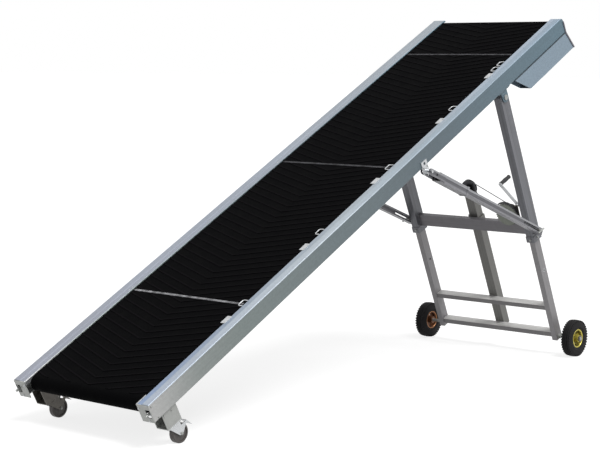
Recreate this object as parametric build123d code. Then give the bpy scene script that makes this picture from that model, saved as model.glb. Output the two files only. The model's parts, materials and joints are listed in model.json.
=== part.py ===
from build123d import *
import math
import os

# Portable belt conveyor on a wheeled, telescopic leg frame. Sizes are in millimetres.
# X runs from the tail (feeding end) to the head (discharge end), Y across, Z up from the floor.
# The deck is drawn in its own frame: s along the rails, y across, n square to the belt.
# The leg frame is drawn in its own frame: b towards the head, y across, z up the legs from the hinge.

# Deck
INCLINE = 28.0                 # slope of the deck, degrees
RAIL_LENGTH = 4000.0
RAIL_HEIGHT = 100.0
RAIL_WALL = 4.0
RAIL_BEND = 4.0                # bend radius at the middle of the sheet
DECK_WIDTH = 950.0             # over the two rails
TOP_FLANGE = 78.0
FLANGE_FLAT = 42.0             # outer strip of the top flange
FLANGE_STEP = 3.0              # drop of its inner strip
FLANGE_LIP = 15.0              # edge turned down beside the belt
BOTTOM_FLANGE = 45.0
HEAD_CORNER = 28.0             # rounded top corner at the head end
STATION_FIRST = 835.0          # cross members and guard loops
STATION_PITCH = 667.0
STATION_COUNT = 4

# Belt and drums
BELT_THICK = 6.0
BELT_EDGE_GAP = 7.0            # belt edge to flange lip
BELT_BELOW_FLANGE = 7.0
RIB_HEIGHT = 3.0
RIB_WIDTH = 9.0
RIB_PITCH = 55.0
RIB_SWEEP = 19.0               # slope of the herringbone arms, degrees
LACING_FIRST = 835.0
LACING_ROWS = 6                # rows of lacing round the whole belt
LACING_WIDTH = 14.0
LACING_GAP = 4.0               # lacing to the ends of the ribs
DRUM_RADIUS = 38.0
DRUM_GAP = 0.3
DRUM_SHAFT_RADIUS = 10.0
TAIL_DRUM_S = 65.0
HEAD_DRUM_S = 3950.0
BED_THICK = 3.0
BED_DRUM_GAP = 12.0
CROSS_TUBE = 40.0
CROSS_WALL = 3.0
CROSS_TAIL_S = 335.0
CROSS_HEAD_S = 3396.0
RETURN_ROLLER_RADIUS = 15.0
RETURN_SHAFT_RADIUS = 6.0
RETURN_ROLLER_GAP = 0.3        # roller to the ribs of the returning belt
RETURN_END_GAP = 12.0
HANGER_THICK = 6.0

# Belt take-up at the tail, and the head drum's bearings
END_PLATE_THICK = 4.0
END_SLOT_WIDTH = 30.0
END_SLOT_HEIGHT = 46.0
SIDE_PLATE_THICK = 6.0
TAKE_UP_LENGTH = 150.0
BEARING_SIZE = 44.0
BEARING_THICK = 16.0
SCREW_RADIUS = 6.0
SCREW_REACH = 26.0             # screw beyond the rail's end

# Guard loops and edge tabs on the near rail
GUARD_EXTRA_S = (3317.0, 3385.0)
GUARD_WIRE = 3.0
GUARD_REACH = 30.0
GUARD_WIDTH = 48.0
GUARD_BEND = 12.0
GUARD_FOOT = 8.0               # foot of the loop on the flange, from the lip
TAB_BEFORE = 145.0             # each tab's distance down from its station
TAB_EXTRA_S = 3235.0
TAB_LENGTH = 60.0
TAB_WIDTH = 30.0
TAB_REACH = 16.0
TAB_THICK = 3.0

# Drive
COVER_END = 4050.0
COVER_DEPTH = 126.0
COVER_WIDTH = 78.0
COVER_WALL = 3.0
COVER_BEVEL = 136.0            # how far the open lower end is raked back
MOTOR_S = 3760.0
MOTOR_DROP = 82.0
MOTOR_RADIUS = 70.0
MOTOR_LENGTH = 240.0
GEARBOX_LENGTH = 150.0
GEARBOX_HEIGHT = 130.0
GEARBOX_WIDTH = 90.0

# Leg frame
LEG_LEAN = 3.35                # the legs stand this much steeper than square to the deck, degrees
HINGE_S = 3250.0
HINGE_DROP = 50.0              # hinge axis below the rails
LEG_INSET = 43.0               # rail's outer face to each leg's centre
UPPER_LEG_DEPTH = 80.0
UPPER_LEG_WIDTH = 50.0
UPPER_LEG_WALL = 4.0
UPPER_LEG_END = 920.0          # down the leg from the hinge
HINGE_PIN_RADIUS = 10.0
HINGE_HEAD = 6.0
PIN_FIT = 0.05                 # radial running clearance
HINGE_EAR_THICK = 6.0
HINGE_EAR_GAP = 1.5
HINGE_EAR_RADIUS = 30.0
HINGE_BASE_LENGTH = 120.0
HINGE_BASE_WIDTH = 76.0
COVER_HINGE_GAP = 56.0         # hinge plate to the drive cover
CROSSBAR_AT = 879.0            # centre of the upper crossbar and of the strut pins
CROSSBAR_HEIGHT = 76.0
CROSSBAR_DEPTH = 30.0
CROSSBAR_WALL = 3.0
COLLAR_HEIGHT = 40.0
COLLAR_WALL = 3.0
LOWER_LEG_DEPTH = 60.0
LOWER_LEG_WIDTH = 36.0
LOWER_LEG_WALL = 3.0
LOWER_LEG_TOP = 690.0
PIN_HOLE_AT = 1175.0           # locking pin hole down each lower leg
PIN_HOLE_RADIUS = 7.0
SLIDE_GAP = 0.8
LOW_BAR_AT = 1437.0
LOW_BAR_HEIGHT = 30.0
LOW_BAR_DEPTH = 50.0
LOW_BAR_WALL = 3.0
AXLE_BAR_HEIGHT = 32.0
AXLE_BAR_RISE = 22.0           # axle bar's centre above the axles
LEG_FOOT = 16.0                # lower leg's end below the axles
POST_WIDTH = 60.0
POST_DEPTH = 60.0
POST_WALL = 3.0
POST_TOP = 706.0
GUIDE_WALL = 5.0
GUIDE_GAP = 1.0
GUIDE_HEIGHT = 50.0

# Wheels
WHEEL_RADIUS = 115.0
WHEEL_OFFSET = 127.0           # wheel's centre plane outboard of the leg's
TYRE_WIDTH = 62.0
TYRE_SHOULDER = 20.0
RIM_RADIUS = 54.0
RIM_WALL = 5.0
RIM_INSET = 8.0
RIM_DISC = 8.0
RIM_HOLES = 5
RIM_HOLE_RADIUS = 9.0
RIM_HOLE_CIRCLE = 36.0
AXLE_RADIUS = 10.0
AXLE_END = 12.0
AXLE_FLANGE_RADIUS = 15.0
AXLE_FLANGE = 8.0
AXLE_NUT_RADIUS = 17.0
AXLE_NUT = 9.0
HUB_RADIUS = 22.0
HUB_LENGTH = 70.0
HUB_GAP = 1.0

# Casters
CASTER_INSET = 48.0            # rail's outer face to the swivel axis
CASTER_S = 108.0
CASTER_WHEEL_RADIUS = 50.0
CASTER_WHEEL_WIDTH = 30.0
CASTER_TREAD = 10.0
CASTER_DISH = 4.0
CASTER_TRAIL = 30.0
CASTER_DROP = 78.0             # wheel centre below the top plate
CASTER_BRACKET_DROP = 92.0     # top plate below the rails
CASTER_BRACKET_LENGTH = 100.0
CASTER_BRACKET_WIDTH = 76.0
CASTER_BRACKET_WALL = 5.0
CASTER_PLATE_LENGTH = 90.0
CASTER_PLATE_WIDTH = 74.0
CASTER_PLATE_THICK = 4.0
CASTER_SWIVEL_GAP = 0.5
CASTER_HEAD_RADIUS = 28.0
CASTER_HEAD_THICK = 10.0
CASTER_CHEEK_GAP = 3.0
CASTER_FORK_THICK = 4.0
CASTER_AXLE_RADIUS = 5.0
CASTER_AXLE_END = 5.0
PEDAL_REACH = 76.0             # brake pedal's tip beyond the caster's axle
PEDAL_WIDTH = 34.0
PEDAL_THICK = 3.0
PEDAL_GAP = 5.0                # pedal to the caster's tread

# Struts
STRUT_BRACKET_S = 2355.0
STRUT_DROP = 30.0              # upper pin below the rails
STRUT_PLATE_RADIUS = 26.0
STRUT_PLATE_TOP = 36.0
STRUT_PLATE_SLOT = 16.0
STRUT_PIN_RADIUS = 8.0
STRUT_BOSS_RADIUS = 14.0
STRUT_PIN_B = -20.0            # lower pin from the leg's centre line
STRUT_LEG_GAP = 5.0            # strut tube to the side of the leg
SLEEVE_START = 105.0           # along the strut from its upper pin
SLEEVE_LENGTH = 290.0
SLEEVE_SIZE = 50.0
SLEEVE_WALL = 4.0
SLEEVE_BAND = 2.0              # raised band round the sleeve's upper end
SLEEVE_BAND_LENGTH = 18.0
STRUT_TUBE_SIZE = 40.0
STRUT_TUBE_WALL = 3.0
STRUT_TUBE_LAP = 245.0         # tube held inside the sleeve as it stands
STRUT_SLOT_LENGTH = 190.0      # adjusting slot that takes the lower pin
STRUT_SLOT_SLACK = 1.5         # slot to pin, above and below
STRUT_SLOT_PAST = 14.0
STRUT_END = 34.0               # tube beyond its lower pin
LINK_THICK = 6.0
LINK_RADIUS = 18.0
LINK_LAP = 40.0
LINK_GAP = 1.0
LINK_HOLE_RADIUS = 8.0
LINK_HOLE_AT = 58.0
PIN_TAIL = 8.0
TEE_RADIUS = 5.0
TEE_LENGTH = 60.0

# Winch and cable sheave
WINCH_AT = 775.0
WINCH_FROM_LEG = 132.0
WINCH_DRUM_RADIUS = 28.0
WINCH_FLANGE_RADIUS = 40.0
WINCH_PLATE_THICK = 4.0
WINCH_PLATE_WIDTH = 90.0
WINCH_PLATE_ABOVE = 30.0
WINCH_INNER = 60.0
GEAR_RADIUS = 75.0
GEAR_TOOTH = 6.0
GEAR_TEETH = 36
GEAR_THICK = 8.0
CRANK_OFFSET = 92.0            # crank arm's plane ahead of the leg's
CRANK_ARM = 163.0
CRANK_ANGLE = 35.0             # arm from straight up, leaning to the middle, degrees
CRANK_THICK = 6.0
CRANK_WIDTH = 22.0
CRANK_BOSS_RADIUS = 14.0
CRANK_SHAFT_RADIUS = 8.0
SPINDLE_RADIUS = 5.0
GRIP_RADIUS = 14.0
GRIP_LENGTH = 105.0
SHEAVE_RADIUS = 50.0
SHEAVE_WIDTH = 20.0
SHEAVE_GROOVE = 6.0
SHEAVE_AT = 652.0
CHEEK_WIDTH = 50.0
CHEEK_THICK = 5.0
CHEEK_ABOVE = 20.0
SHEAVE_AXLE_RADIUS = 7.0

os.makedirs("parts", exist_ok=True)

# Places worked out from the driving sizes
slope = math.radians(INCLINE)
lean = math.radians(INCLINE - LEG_LEAN)
rail_y = DECK_WIDTH / 2
lip_y = rail_y - TOP_FLANGE
belt_half = lip_y - BELT_EDGE_GAP
belt_top = RAIL_HEIGHT - BELT_BELOW_FLANGE
drum_n = belt_top - BELT_THICK - DRUM_RADIUS
web_inner = rail_y - RAIL_WALL
bearing_y = web_inner - SIDE_PLATE_THICK - BEARING_THICK / 2
stations = [STATION_FIRST + STATION_PITCH * i for i in range(STATION_COUNT)]

caster_wheel_s = CASTER_S + CASTER_TRAIL
caster_wheel_n = -CASTER_BRACKET_DROP - CASTER_DROP
caster_rise = caster_wheel_s * math.sin(slope) + caster_wheel_n * math.cos(slope)
tail_height = CASTER_WHEEL_RADIUS - caster_rise

hinge_rise = tail_height + HINGE_S * math.sin(slope) - HINGE_DROP * math.cos(slope)
hinge_run = HINGE_S * math.cos(slope) + HINGE_DROP * math.sin(slope)
axle_at = (hinge_rise - WHEEL_RADIUS) / math.cos(lean)
axle_run = hinge_run + axle_at * math.sin(lean)

rear_end = -RAIL_HEIGHT * math.sin(slope) - END_PLATE_THICK * math.cos(slope)
front_end = axle_run + WHEEL_RADIUS
tail_x = -(rear_end + front_end) / 2

leg_y = rail_y - LEG_INSET
leg_outer = leg_y + UPPER_LEG_WIDTH / 2
leg_inner = leg_y - UPPER_LEG_WIDTH / 2
wheel_y = leg_y + WHEEL_OFFSET
caster_y = rail_y - CASTER_INSET
strut_y = leg_outer + STRUT_LEG_GAP + STRUT_TUBE_SIZE / 2
cover_start = HINGE_S + HINGE_BASE_LENGTH / 2 + COVER_HINGE_GAP


def deck_point(s, y, n):
    """Place of a point given along, across and square to the deck."""
    x = tail_x + s * math.cos(slope) - n * math.sin(slope)
    z = tail_height + s * math.sin(slope) + n * math.cos(slope)
    return Vector(x, y, z)


def leg_point(b, y, down):
    """Place of a point given ahead of, across and down the leg frame."""
    x = tail_x + hinge_run + b * math.cos(lean) + down * math.sin(lean)
    z = hinge_rise + b * math.sin(lean) - down * math.cos(lean)
    return Vector(x, y, z)


deck_at = Plane(
    origin=deck_point(0, 0, 0),
    x_dir=(math.cos(slope), 0, math.sin(slope)),
    z_dir=(-math.sin(slope), 0, math.cos(slope)),
).location
leg_at = Plane(
    origin=leg_point(0, 0, 0),
    x_dir=(math.cos(lean), 0, math.sin(lean)),
    z_dir=(-math.sin(lean), 0, math.cos(lean)),
).location
wheel_at = Location(leg_point(0, 0, axle_at))

strut_top = deck_point(STRUT_BRACKET_S, 0, -STRUT_DROP)
strut_vector = leg_point(STRUT_PIN_B, 0, CROSSBAR_AT) - strut_top
strut_length = strut_vector.length
strut_dir = strut_vector.normalized()
strut_at = Plane(
    origin=strut_top, x_dir=strut_dir, z_dir=strut_dir.cross(Vector(0, 1, 0))
).location

SIDES = {"near": -1, "far": 1}


def block(x, y, z):
    """A box between two limits on each axis, whichever limit is the larger."""
    sizes = [abs(b - a) for a, b in (x, y, z)]
    middle = [(a + b) / 2 for a, b in (x, y, z)]
    return Pos(*middle) * Box(*sizes)


def around(middle, size):
    """Two limits, half the size to each side of the middle."""
    return (middle - size / 2, middle + size / 2)


def outwards(side, low, high):
    """Limits of y on one side of the machine, from limits measured outwards."""
    return (side * low, side * high)


def leg_tube(span, y, across, b, depth, wall):
    """A square tube along the legs. y and b are the centre of its section."""
    outer = block(around(b, depth), around(y, across), span)
    return outer - block(around(b, depth - 2 * wall), around(y, across - 2 * wall), span)


def cross_tube(half_length, x, depth, z, height, wall):
    """A square tube across the machine. x and z are the centre of its section."""
    span = (-half_length, half_length)
    outer = block(around(x, depth), span, around(z, height))
    return outer - block(around(x, depth - 2 * wall), span, around(z, height - 2 * wall))


def rod(radius, y, x=0.0, z=0.0):
    """A round bar across the machine between two limits of y."""
    length = abs(y[1] - y[0])
    return Pos(x, (y[0] + y[1]) / 2, z) * Rot(90, 0, 0) * Cylinder(radius, length)


def forward_rod(radius, x, y=0.0, z=0.0):
    """A round bar along x between two limits."""
    return Pos((x[0] + x[1]) / 2, y, z) * Rot(0, 90, 0) * Cylinder(radius, abs(x[1] - x[0]))


def plate_xz(points, y):
    """A flat plate square to y, from an outline in x and z."""
    outline = make_face(Polyline(*[(px, y[0], pz) for px, pz in points], close=True))
    return extrude(outline, amount=y[1] - y[0], dir=(0, 1, 0))


def save(name, shape):
    """Write one sub-part, named after its node."""
    shape.label = name
    export_step(shape, f"parts/{name}.step")


# Side rails: folded sheet channels, open towards the belt
def rail(side):
    skin = RAIL_WALL / 2
    joggle_y = rail_y - FLANGE_FLAT
    strip_n = RAIL_HEIGHT - skin - FLANGE_STEP
    section = FilletPolyline(
        (rail_y - BOTTOM_FLANGE, skin),
        (rail_y - skin, skin),
        (rail_y - skin, RAIL_HEIGHT - skin),
        (joggle_y, RAIL_HEIGHT - skin),
        (joggle_y - 2 * FLANGE_STEP, strip_n),
        (lip_y + skin, strip_n),
        (lip_y + skin, RAIL_HEIGHT - FLANGE_LIP),
        radius=RAIL_BEND,
    )
    end = Plane(origin=(0, 0, 0), x_dir=(0, side, 0), z_dir=(side, 0, 0))
    channel = extrude(end * trace(section, line_width=RAIL_WALL), amount=RAIL_LENGTH, dir=(1, 0, 0))
    limits = outwards(side, lip_y, rail_y)
    square = block((RAIL_LENGTH - HEAD_CORNER, RAIL_LENGTH), limits, (RAIL_HEIGHT - HEAD_CORNER, RAIL_HEIGHT))
    rounding = rod(HEAD_CORNER, limits, RAIL_LENGTH - HEAD_CORNER, RAIL_HEIGHT - HEAD_CORNER)
    return deck_at * (channel - (square - rounding))


for name, side in SIDES.items():
    save(f"rail_{name}", rail(side))


# Belt: one closed loop round both drums, with herringbone ribs on both its runs
belt_outer = DRUM_RADIUS + BELT_THICK
belt_turn = math.pi * belt_outer
belt_length = 2 * (HEAD_DRUM_S - TAIL_DRUM_S) + 2 * belt_turn
lacing_path = [LACING_FIRST + i * belt_length / LACING_ROWS for i in range(LACING_ROWS)]
carrying_lacing = lacing_path[: LACING_ROWS // 2]
return_lacing = [2 * HEAD_DRUM_S + belt_turn - path for path in lacing_path[LACING_ROWS // 2 :]]
rib_clear = LACING_WIDTH + 2 * LACING_GAP


def belt_loop(radius):
    bar = block((TAIL_DRUM_S, HEAD_DRUM_S), (-belt_half, belt_half), around(drum_n, 2 * radius))
    ends = [rod(radius, (-belt_half, belt_half), s, drum_n) for s in (TAIL_DRUM_S, HEAD_DRUM_S)]
    return bar + ends


def herringbone(base, lacing, point):
    """Ribs on one run, standing on the height base, with their points towards the tail or the head."""
    set_back = belt_half * math.tan(math.radians(RIB_SWEEP))
    count = int((HEAD_DRUM_S - TAIL_DRUM_S + set_back) / RIB_PITCH)
    ribs = Sketch()
    for i in range(count):
        tip = TAIL_DRUM_S - set_back + (i + 0.5) * RIB_PITCH if point < 0 else TAIL_DRUM_S + (i + 0.5) * RIB_PITCH
        arm = tip - point * set_back
        corners = [(tip, 0), (arm, belt_half), (arm + RIB_WIDTH, belt_half), (tip + RIB_WIDTH, 0)]
        corners += [(arm + RIB_WIDTH, -belt_half), (arm, -belt_half)]
        ribs += make_face(Polyline(*corners, close=True))
    run = Pos((TAIL_DRUM_S + HEAD_DRUM_S) / 2, 0) * Rectangle(HEAD_DRUM_S - TAIL_DRUM_S, 2 * belt_half)
    for s in lacing:
        run -= Pos(s, 0) * Rectangle(rib_clear, 2 * belt_half)
    return Pos(0, 0, base) * extrude(ribs & run, amount=RIB_HEIGHT)


def belt():
    body = belt_loop(belt_outer) - belt_loop(DRUM_RADIUS)
    body += herringbone(belt_top, carrying_lacing, -1)
    body += herringbone(drum_n - belt_outer - RIB_HEIGHT, return_lacing, 1)
    return deck_at * body


save("belt", belt())


def lacing_row(s, base):
    return deck_at * block(around(s, LACING_WIDTH), (-belt_half, belt_half), (base, base + RIB_HEIGHT))


lacing = [lacing_row(s, belt_top) for s in carrying_lacing]
lacing += [lacing_row(s, drum_n - belt_outer - RIB_HEIGHT) for s in return_lacing]
save("belt_lacing", Compound(children=lacing))


# Slider bed and cross members
bed_top = belt_top - BELT_THICK
bed_start = TAIL_DRUM_S + DRUM_RADIUS + BED_DRUM_GAP
bed_end = HEAD_DRUM_S - DRUM_RADIUS - BED_DRUM_GAP
bed = block((bed_start, bed_end), (-belt_half, belt_half), (bed_top - BED_THICK, bed_top))
save("slider_bed", deck_at * bed)

cross_n = bed_top - BED_THICK - CROSS_TUBE / 2
cross_members = [
    deck_at * cross_tube(web_inner, s, CROSS_TUBE, cross_n, CROSS_TUBE, CROSS_WALL)
    for s in [CROSS_TAIL_S, *stations, CROSS_HEAD_S]
]
save("cross_members", Compound(children=cross_members))


# Drums and return rollers
def drum(s):
    shell_half = belt_half - RIB_HEIGHT
    shell = rod(DRUM_RADIUS - DRUM_GAP, (-shell_half, shell_half), s, drum_n)
    shaft = rod(DRUM_SHAFT_RADIUS, (-web_inner, web_inner), s, drum_n)
    return deck_at * (shell + shaft)


save("tail_drum", drum(TAIL_DRUM_S))
save("head_drum", drum(HEAD_DRUM_S))

return_n = drum_n - belt_outer - RIB_HEIGHT - RETURN_ROLLER_GAP - RETURN_ROLLER_RADIUS
return_stations = [s + STATION_PITCH / 2 for s in stations[:-1]]


def return_roller(s):
    flange_y = rail_y - BOTTOM_FLANGE
    half = flange_y - RETURN_END_GAP
    roller = rod(RETURN_ROLLER_RADIUS, (-half, half), s, return_n)
    roller += rod(RETURN_SHAFT_RADIUS, (-flange_y - HANGER_THICK, flange_y + HANGER_THICK), s, return_n)
    for side in SIDES.values():
        limits = outwards(side, flange_y, flange_y + HANGER_THICK)
        roller += block(around(s, 2 * RETURN_ROLLER_RADIUS), limits, (return_n - 2 * RETURN_SHAFT_RADIUS, 0))
    return deck_at * roller


save("return_rollers", Compound(children=[return_roller(s) for s in return_stations]))


# Belt take-up at the tail: slotted end plate, side plate, bearing block and its screw
def tensioner(side):
    ends = outwards(side, lip_y, rail_y)
    end_plate = block((-END_PLATE_THICK, 0), ends, (0, RAIL_HEIGHT - FLANGE_STEP))
    slot_y = around(side * bearing_y, END_SLOT_WIDTH)
    end_plate -= block((-END_PLATE_THICK, 0), slot_y, around(drum_n, END_SLOT_HEIGHT))
    clear = RAIL_WALL + RAIL_BEND
    side_limits = outwards(side, web_inner - SIDE_PLATE_THICK, web_inner)
    side_plate = block((0, TAKE_UP_LENGTH), side_limits, (clear, RAIL_HEIGHT - clear))
    bearing = block(around(TAIL_DRUM_S, BEARING_SIZE), around(side * bearing_y, BEARING_THICK),
                    around(drum_n, BEARING_SIZE))
    screw = forward_rod(SCREW_RADIUS, (-SCREW_REACH, TAIL_DRUM_S - BEARING_SIZE / 2), side * bearing_y, drum_n)
    hole = rod(DRUM_SHAFT_RADIUS + PIN_FIT, (-rail_y, rail_y), TAIL_DRUM_S, drum_n)
    return deck_at * (end_plate + side_plate + bearing + screw - hole)


def head_bearing(side):
    plate_y = outwards(side, web_inner - SIDE_PLATE_THICK, web_inner)
    height = around(drum_n, BEARING_SIZE)
    plate = block(around(HEAD_DRUM_S, 1.5 * BEARING_SIZE), plate_y, height)
    boss_y = outwards(side, web_inner - SIDE_PLATE_THICK - BEARING_THICK, web_inner)
    boss = rod(BEARING_SIZE / 2, boss_y, HEAD_DRUM_S, drum_n)
    hole = rod(DRUM_SHAFT_RADIUS + PIN_FIT, (-rail_y, rail_y), HEAD_DRUM_S, drum_n)
    return deck_at * (plate + boss - hole)


for name, side in SIDES.items():
    save(f"tensioner_{name}", tensioner(side))
    save(f"head_bearing_{name}", head_bearing(side))


# Drive cover under the head end of the near rail, open at its raked lower end
def drive_cover():
    wall = COVER_WALL
    y = (-rail_y, -rail_y + COVER_WIDTH)
    body = plate_xz(
        [(cover_start, 0), (cover_start + COVER_BEVEL, -COVER_DEPTH), (COVER_END, -COVER_DEPTH), (RAIL_LENGTH, 0)], y
    )
    start = cover_start - COVER_BEVEL
    hollow = plate_xz(
        [(start, 0), (cover_start, -COVER_DEPTH + wall), (COVER_END - wall, -COVER_DEPTH + wall),
         (RAIL_LENGTH - wall, 0)],
        (y[0] + wall, y[1] - wall),
    )
    return deck_at * (body - hollow)


save("drive_cover", drive_cover())


# Geared motor between the rails, flanged to the inner wall of the drive cover
def drive_motor():
    face = -rail_y + COVER_WIDTH
    gearbox_end = face + GEARBOX_WIDTH
    gearbox = block(around(MOTOR_S, GEARBOX_LENGTH), (face, gearbox_end), around(-MOTOR_DROP, GEARBOX_HEIGHT))
    motor = rod(MOTOR_RADIUS, (gearbox_end, gearbox_end + MOTOR_LENGTH), MOTOR_S, -MOTOR_DROP)
    return deck_at * (gearbox + motor)


save("drive_motor", drive_motor())


# Guard loops and edge tabs along the near rail
flange_top = RAIL_HEIGHT - FLANGE_STEP


def guard_loop(s):
    foot, tip = -lip_y - GUARD_FOOT, -lip_y - GUARD_FOOT + GUARD_REACH
    low, high = around(s, GUARD_WIDTH)
    path = FilletPolyline((low, foot, 0), (low, tip, 0), (high, tip, 0), (high, foot, 0), radius=GUARD_BEND)
    section = Plane(origin=path @ 0, z_dir=path % 0) * Circle(GUARD_WIRE)
    return deck_at * Pos(0, 0, flange_top + GUARD_WIRE) * sweep(section, path=path)


def edge_tab(s):
    limits = (-lip_y + TAB_REACH - TAB_WIDTH, -lip_y + TAB_REACH)
    return deck_at * block(around(s, TAB_LENGTH), limits, (flange_top, flange_top + TAB_THICK))


save("guard_loops", Compound(children=[guard_loop(s) for s in [*stations, *GUARD_EXTRA_S]]))
tab_stations = [s - TAB_BEFORE for s in stations]
save("edge_tabs", Compound(children=[edge_tab(s) for s in [*tab_stations, TAB_EXTRA_S]]))


# Leg hinges: a pair of ears under each rail and their pin
hinge_half = UPPER_LEG_WIDTH / 2 + HINGE_EAR_GAP
ear_outer = leg_y + hinge_half + HINGE_EAR_THICK


def hinge_bracket(side):
    bracket = block(
        around(HINGE_S, HINGE_BASE_LENGTH), around(side * leg_y, HINGE_BASE_WIDTH), (-HINGE_EAR_THICK, 0)
    )
    for low in (leg_y - hinge_half - HINGE_EAR_THICK, leg_y + hinge_half):
        limits = outwards(side, low, low + HINGE_EAR_THICK)
        bracket += block(around(HINGE_S, 2 * HINGE_EAR_RADIUS), limits, (-HINGE_DROP, 0))
        bracket += rod(HINGE_EAR_RADIUS, limits, HINGE_S, -HINGE_DROP)
    hole = rod(HINGE_PIN_RADIUS, around(side * leg_y, 2 * HINGE_BASE_WIDTH), HINGE_S, -HINGE_DROP)
    return deck_at * (bracket - hole)


def hinge_pin(side):
    start = leg_y - hinge_half - HINGE_EAR_THICK
    shank = rod(HINGE_PIN_RADIUS, outwards(side, start - HINGE_HEAD, ear_outer), HINGE_S, -HINGE_DROP)
    head_radius = HINGE_PIN_RADIUS + HINGE_HEAD
    head = rod(head_radius, outwards(side, ear_outer, ear_outer + HINGE_HEAD), HINGE_S, -HINGE_DROP)
    return deck_at * (shank + head)


for name, side in SIDES.items():
    save(f"hinge_bracket_{name}", hinge_bracket(side))
    save(f"hinge_pin_{name}", hinge_pin(side))


# Strut brackets: a slotted plate on the outside of each rail, with the strut's upper pin
def strut_bracket(side):
    limits = outwards(side, rail_y, rail_y + LINK_THICK)
    wide = around(STRUT_BRACKET_S, 2 * STRUT_PLATE_RADIUS)
    plate = block(wide, limits, (-STRUT_DROP, STRUT_PLATE_TOP))
    plate += rod(STRUT_PLATE_RADIUS, limits, STRUT_BRACKET_S, -STRUT_DROP)
    slot_top = STRUT_PLATE_TOP - STRUT_PLATE_SLOT / 2
    plate -= block(around(STRUT_BRACKET_S, STRUT_PLATE_SLOT), limits, (slot_top - STRUT_PLATE_SLOT, slot_top))
    boss_end = strut_y + SLEEVE_SIZE / 2 - LINK_GAP
    plate += rod(STRUT_BOSS_RADIUS, outwards(side, rail_y, boss_end), STRUT_BRACKET_S, -STRUT_DROP)
    pin_end = strut_y + SLEEVE_SIZE / 2 + LINK_THICK + PIN_TAIL
    plate += rod(STRUT_PIN_RADIUS, outwards(side, rail_y, pin_end), STRUT_BRACKET_S, -STRUT_DROP)
    return deck_at * plate


for name, side in SIDES.items():
    save(f"strut_bracket_{name}", strut_bracket(side))


# Caster brackets: a box of folded plate under each rail, open towards the tail
def caster_bracket(side):
    wall = CASTER_BRACKET_WALL
    s = around(CASTER_S, CASTER_BRACKET_LENGTH)
    outer = block(s, around(side * caster_y, CASTER_BRACKET_WIDTH), (-CASTER_BRACKET_DROP, 0))
    inner_y = around(side * caster_y, CASTER_BRACKET_WIDTH - 2 * wall)
    return deck_at * (outer - block((s[0], s[1] - wall), inner_y, (-CASTER_BRACKET_DROP + wall, -wall)))


def caster_point(side):
    return deck_at * Pos(CASTER_S, side * caster_y, -CASTER_BRACKET_DROP)


# Casters, each drawn in a frame on its swivel axis at the top of its plate
cheek_inner = CASTER_WHEEL_WIDTH / 2 + CASTER_CHEEK_GAP
cheek_outer = cheek_inner + CASTER_FORK_THICK
fork_top = -CASTER_PLATE_THICK - CASTER_SWIVEL_GAP


def caster_fork(side):
    """Swivel head, two cheeks, axle and brake pedal."""
    crown_top = fork_top - CASTER_HEAD_THICK + CASTER_FORK_THICK
    crown_base = crown_top - CASTER_FORK_THICK
    fork = Pos(0, 0, fork_top - CASTER_HEAD_THICK / 2) * Cylinder(CASTER_HEAD_RADIUS, CASTER_HEAD_THICK)
    reach = CASTER_TRAIL + CASTER_HEAD_RADIUS / 2
    fork += block((-CASTER_HEAD_RADIUS, reach), (-cheek_outer, cheek_outer), (crown_base, crown_top))
    cheek = [
        (-CASTER_HEAD_RADIUS, crown_base), (reach, crown_base), (reach, -CASTER_DROP),
        (CASTER_TRAIL, -CASTER_DROP - 2 * CASTER_AXLE_RADIUS), (CASTER_TRAIL / 2, -CASTER_DROP),
    ]
    tip = CASTER_TRAIL + PEDAL_REACH
    tread = CASTER_TRAIL + CASTER_WHEEL_RADIUS + PEDAL_GAP
    arm = [
        (reach, -CASTER_DROP / 2), (tread, -CASTER_DROP / 2), (tip, -CASTER_DROP),
        (tip, -CASTER_DROP - PEDAL_THICK), (tread, -CASTER_DROP / 2 - 2 * PEDAL_THICK), (reach, -CASTER_DROP),
    ]
    for low in (-cheek_outer, cheek_inner):
        fork += plate_xz(cheek, (low, low + CASTER_FORK_THICK)) + plate_xz(arm, (low, low + CASTER_FORK_THICK))
    pedal = [(tread, -CASTER_DROP / 2), (tip, -CASTER_DROP), (tip, -CASTER_DROP - PEDAL_THICK),
             (tread, -CASTER_DROP / 2 - PEDAL_THICK)]
    fork += plate_xz(pedal, around(0, max(PEDAL_WIDTH, 2 * cheek_outer)))
    axle_end = cheek_outer + CASTER_AXLE_END
    fork += rod(CASTER_AXLE_RADIUS, (-axle_end, axle_end), CASTER_TRAIL, -CASTER_DROP)
    return caster_point(side) * fork


def caster_plate(side):
    size = (CASTER_PLATE_LENGTH, CASTER_PLATE_WIDTH, CASTER_PLATE_THICK)
    return caster_point(side) * Pos(0, 0, -CASTER_PLATE_THICK / 2) * Box(*size)


def caster_wheel(side):
    half = CASTER_WHEEL_WIDTH / 2
    wheel = rod(CASTER_WHEEL_RADIUS, (-half, half))
    wheel = fillet(wheel.edges().filter_by(GeomType.CIRCLE), CASTER_DISH)
    dish_radius = CASTER_WHEEL_RADIUS - CASTER_TREAD
    for low in (-half, half - CASTER_DISH):
        limits = (low, low + CASTER_DISH)
        wheel -= rod(dish_radius, limits) - rod(CASTER_HEAD_RADIUS / 2, limits)
    wheel -= rod(CASTER_AXLE_RADIUS + PIN_FIT, (-half, half))
    return caster_point(side) * Pos(CASTER_TRAIL, 0, -CASTER_DROP) * wheel


for name, side in SIDES.items():
    save(f"caster_bracket_{name}", caster_bracket(side))
    save(f"caster_plate_{name}", caster_plate(side))
    save(f"caster_fork_{name}", caster_fork(side))
    save(f"caster_wheel_{name}", caster_wheel(side))


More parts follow.
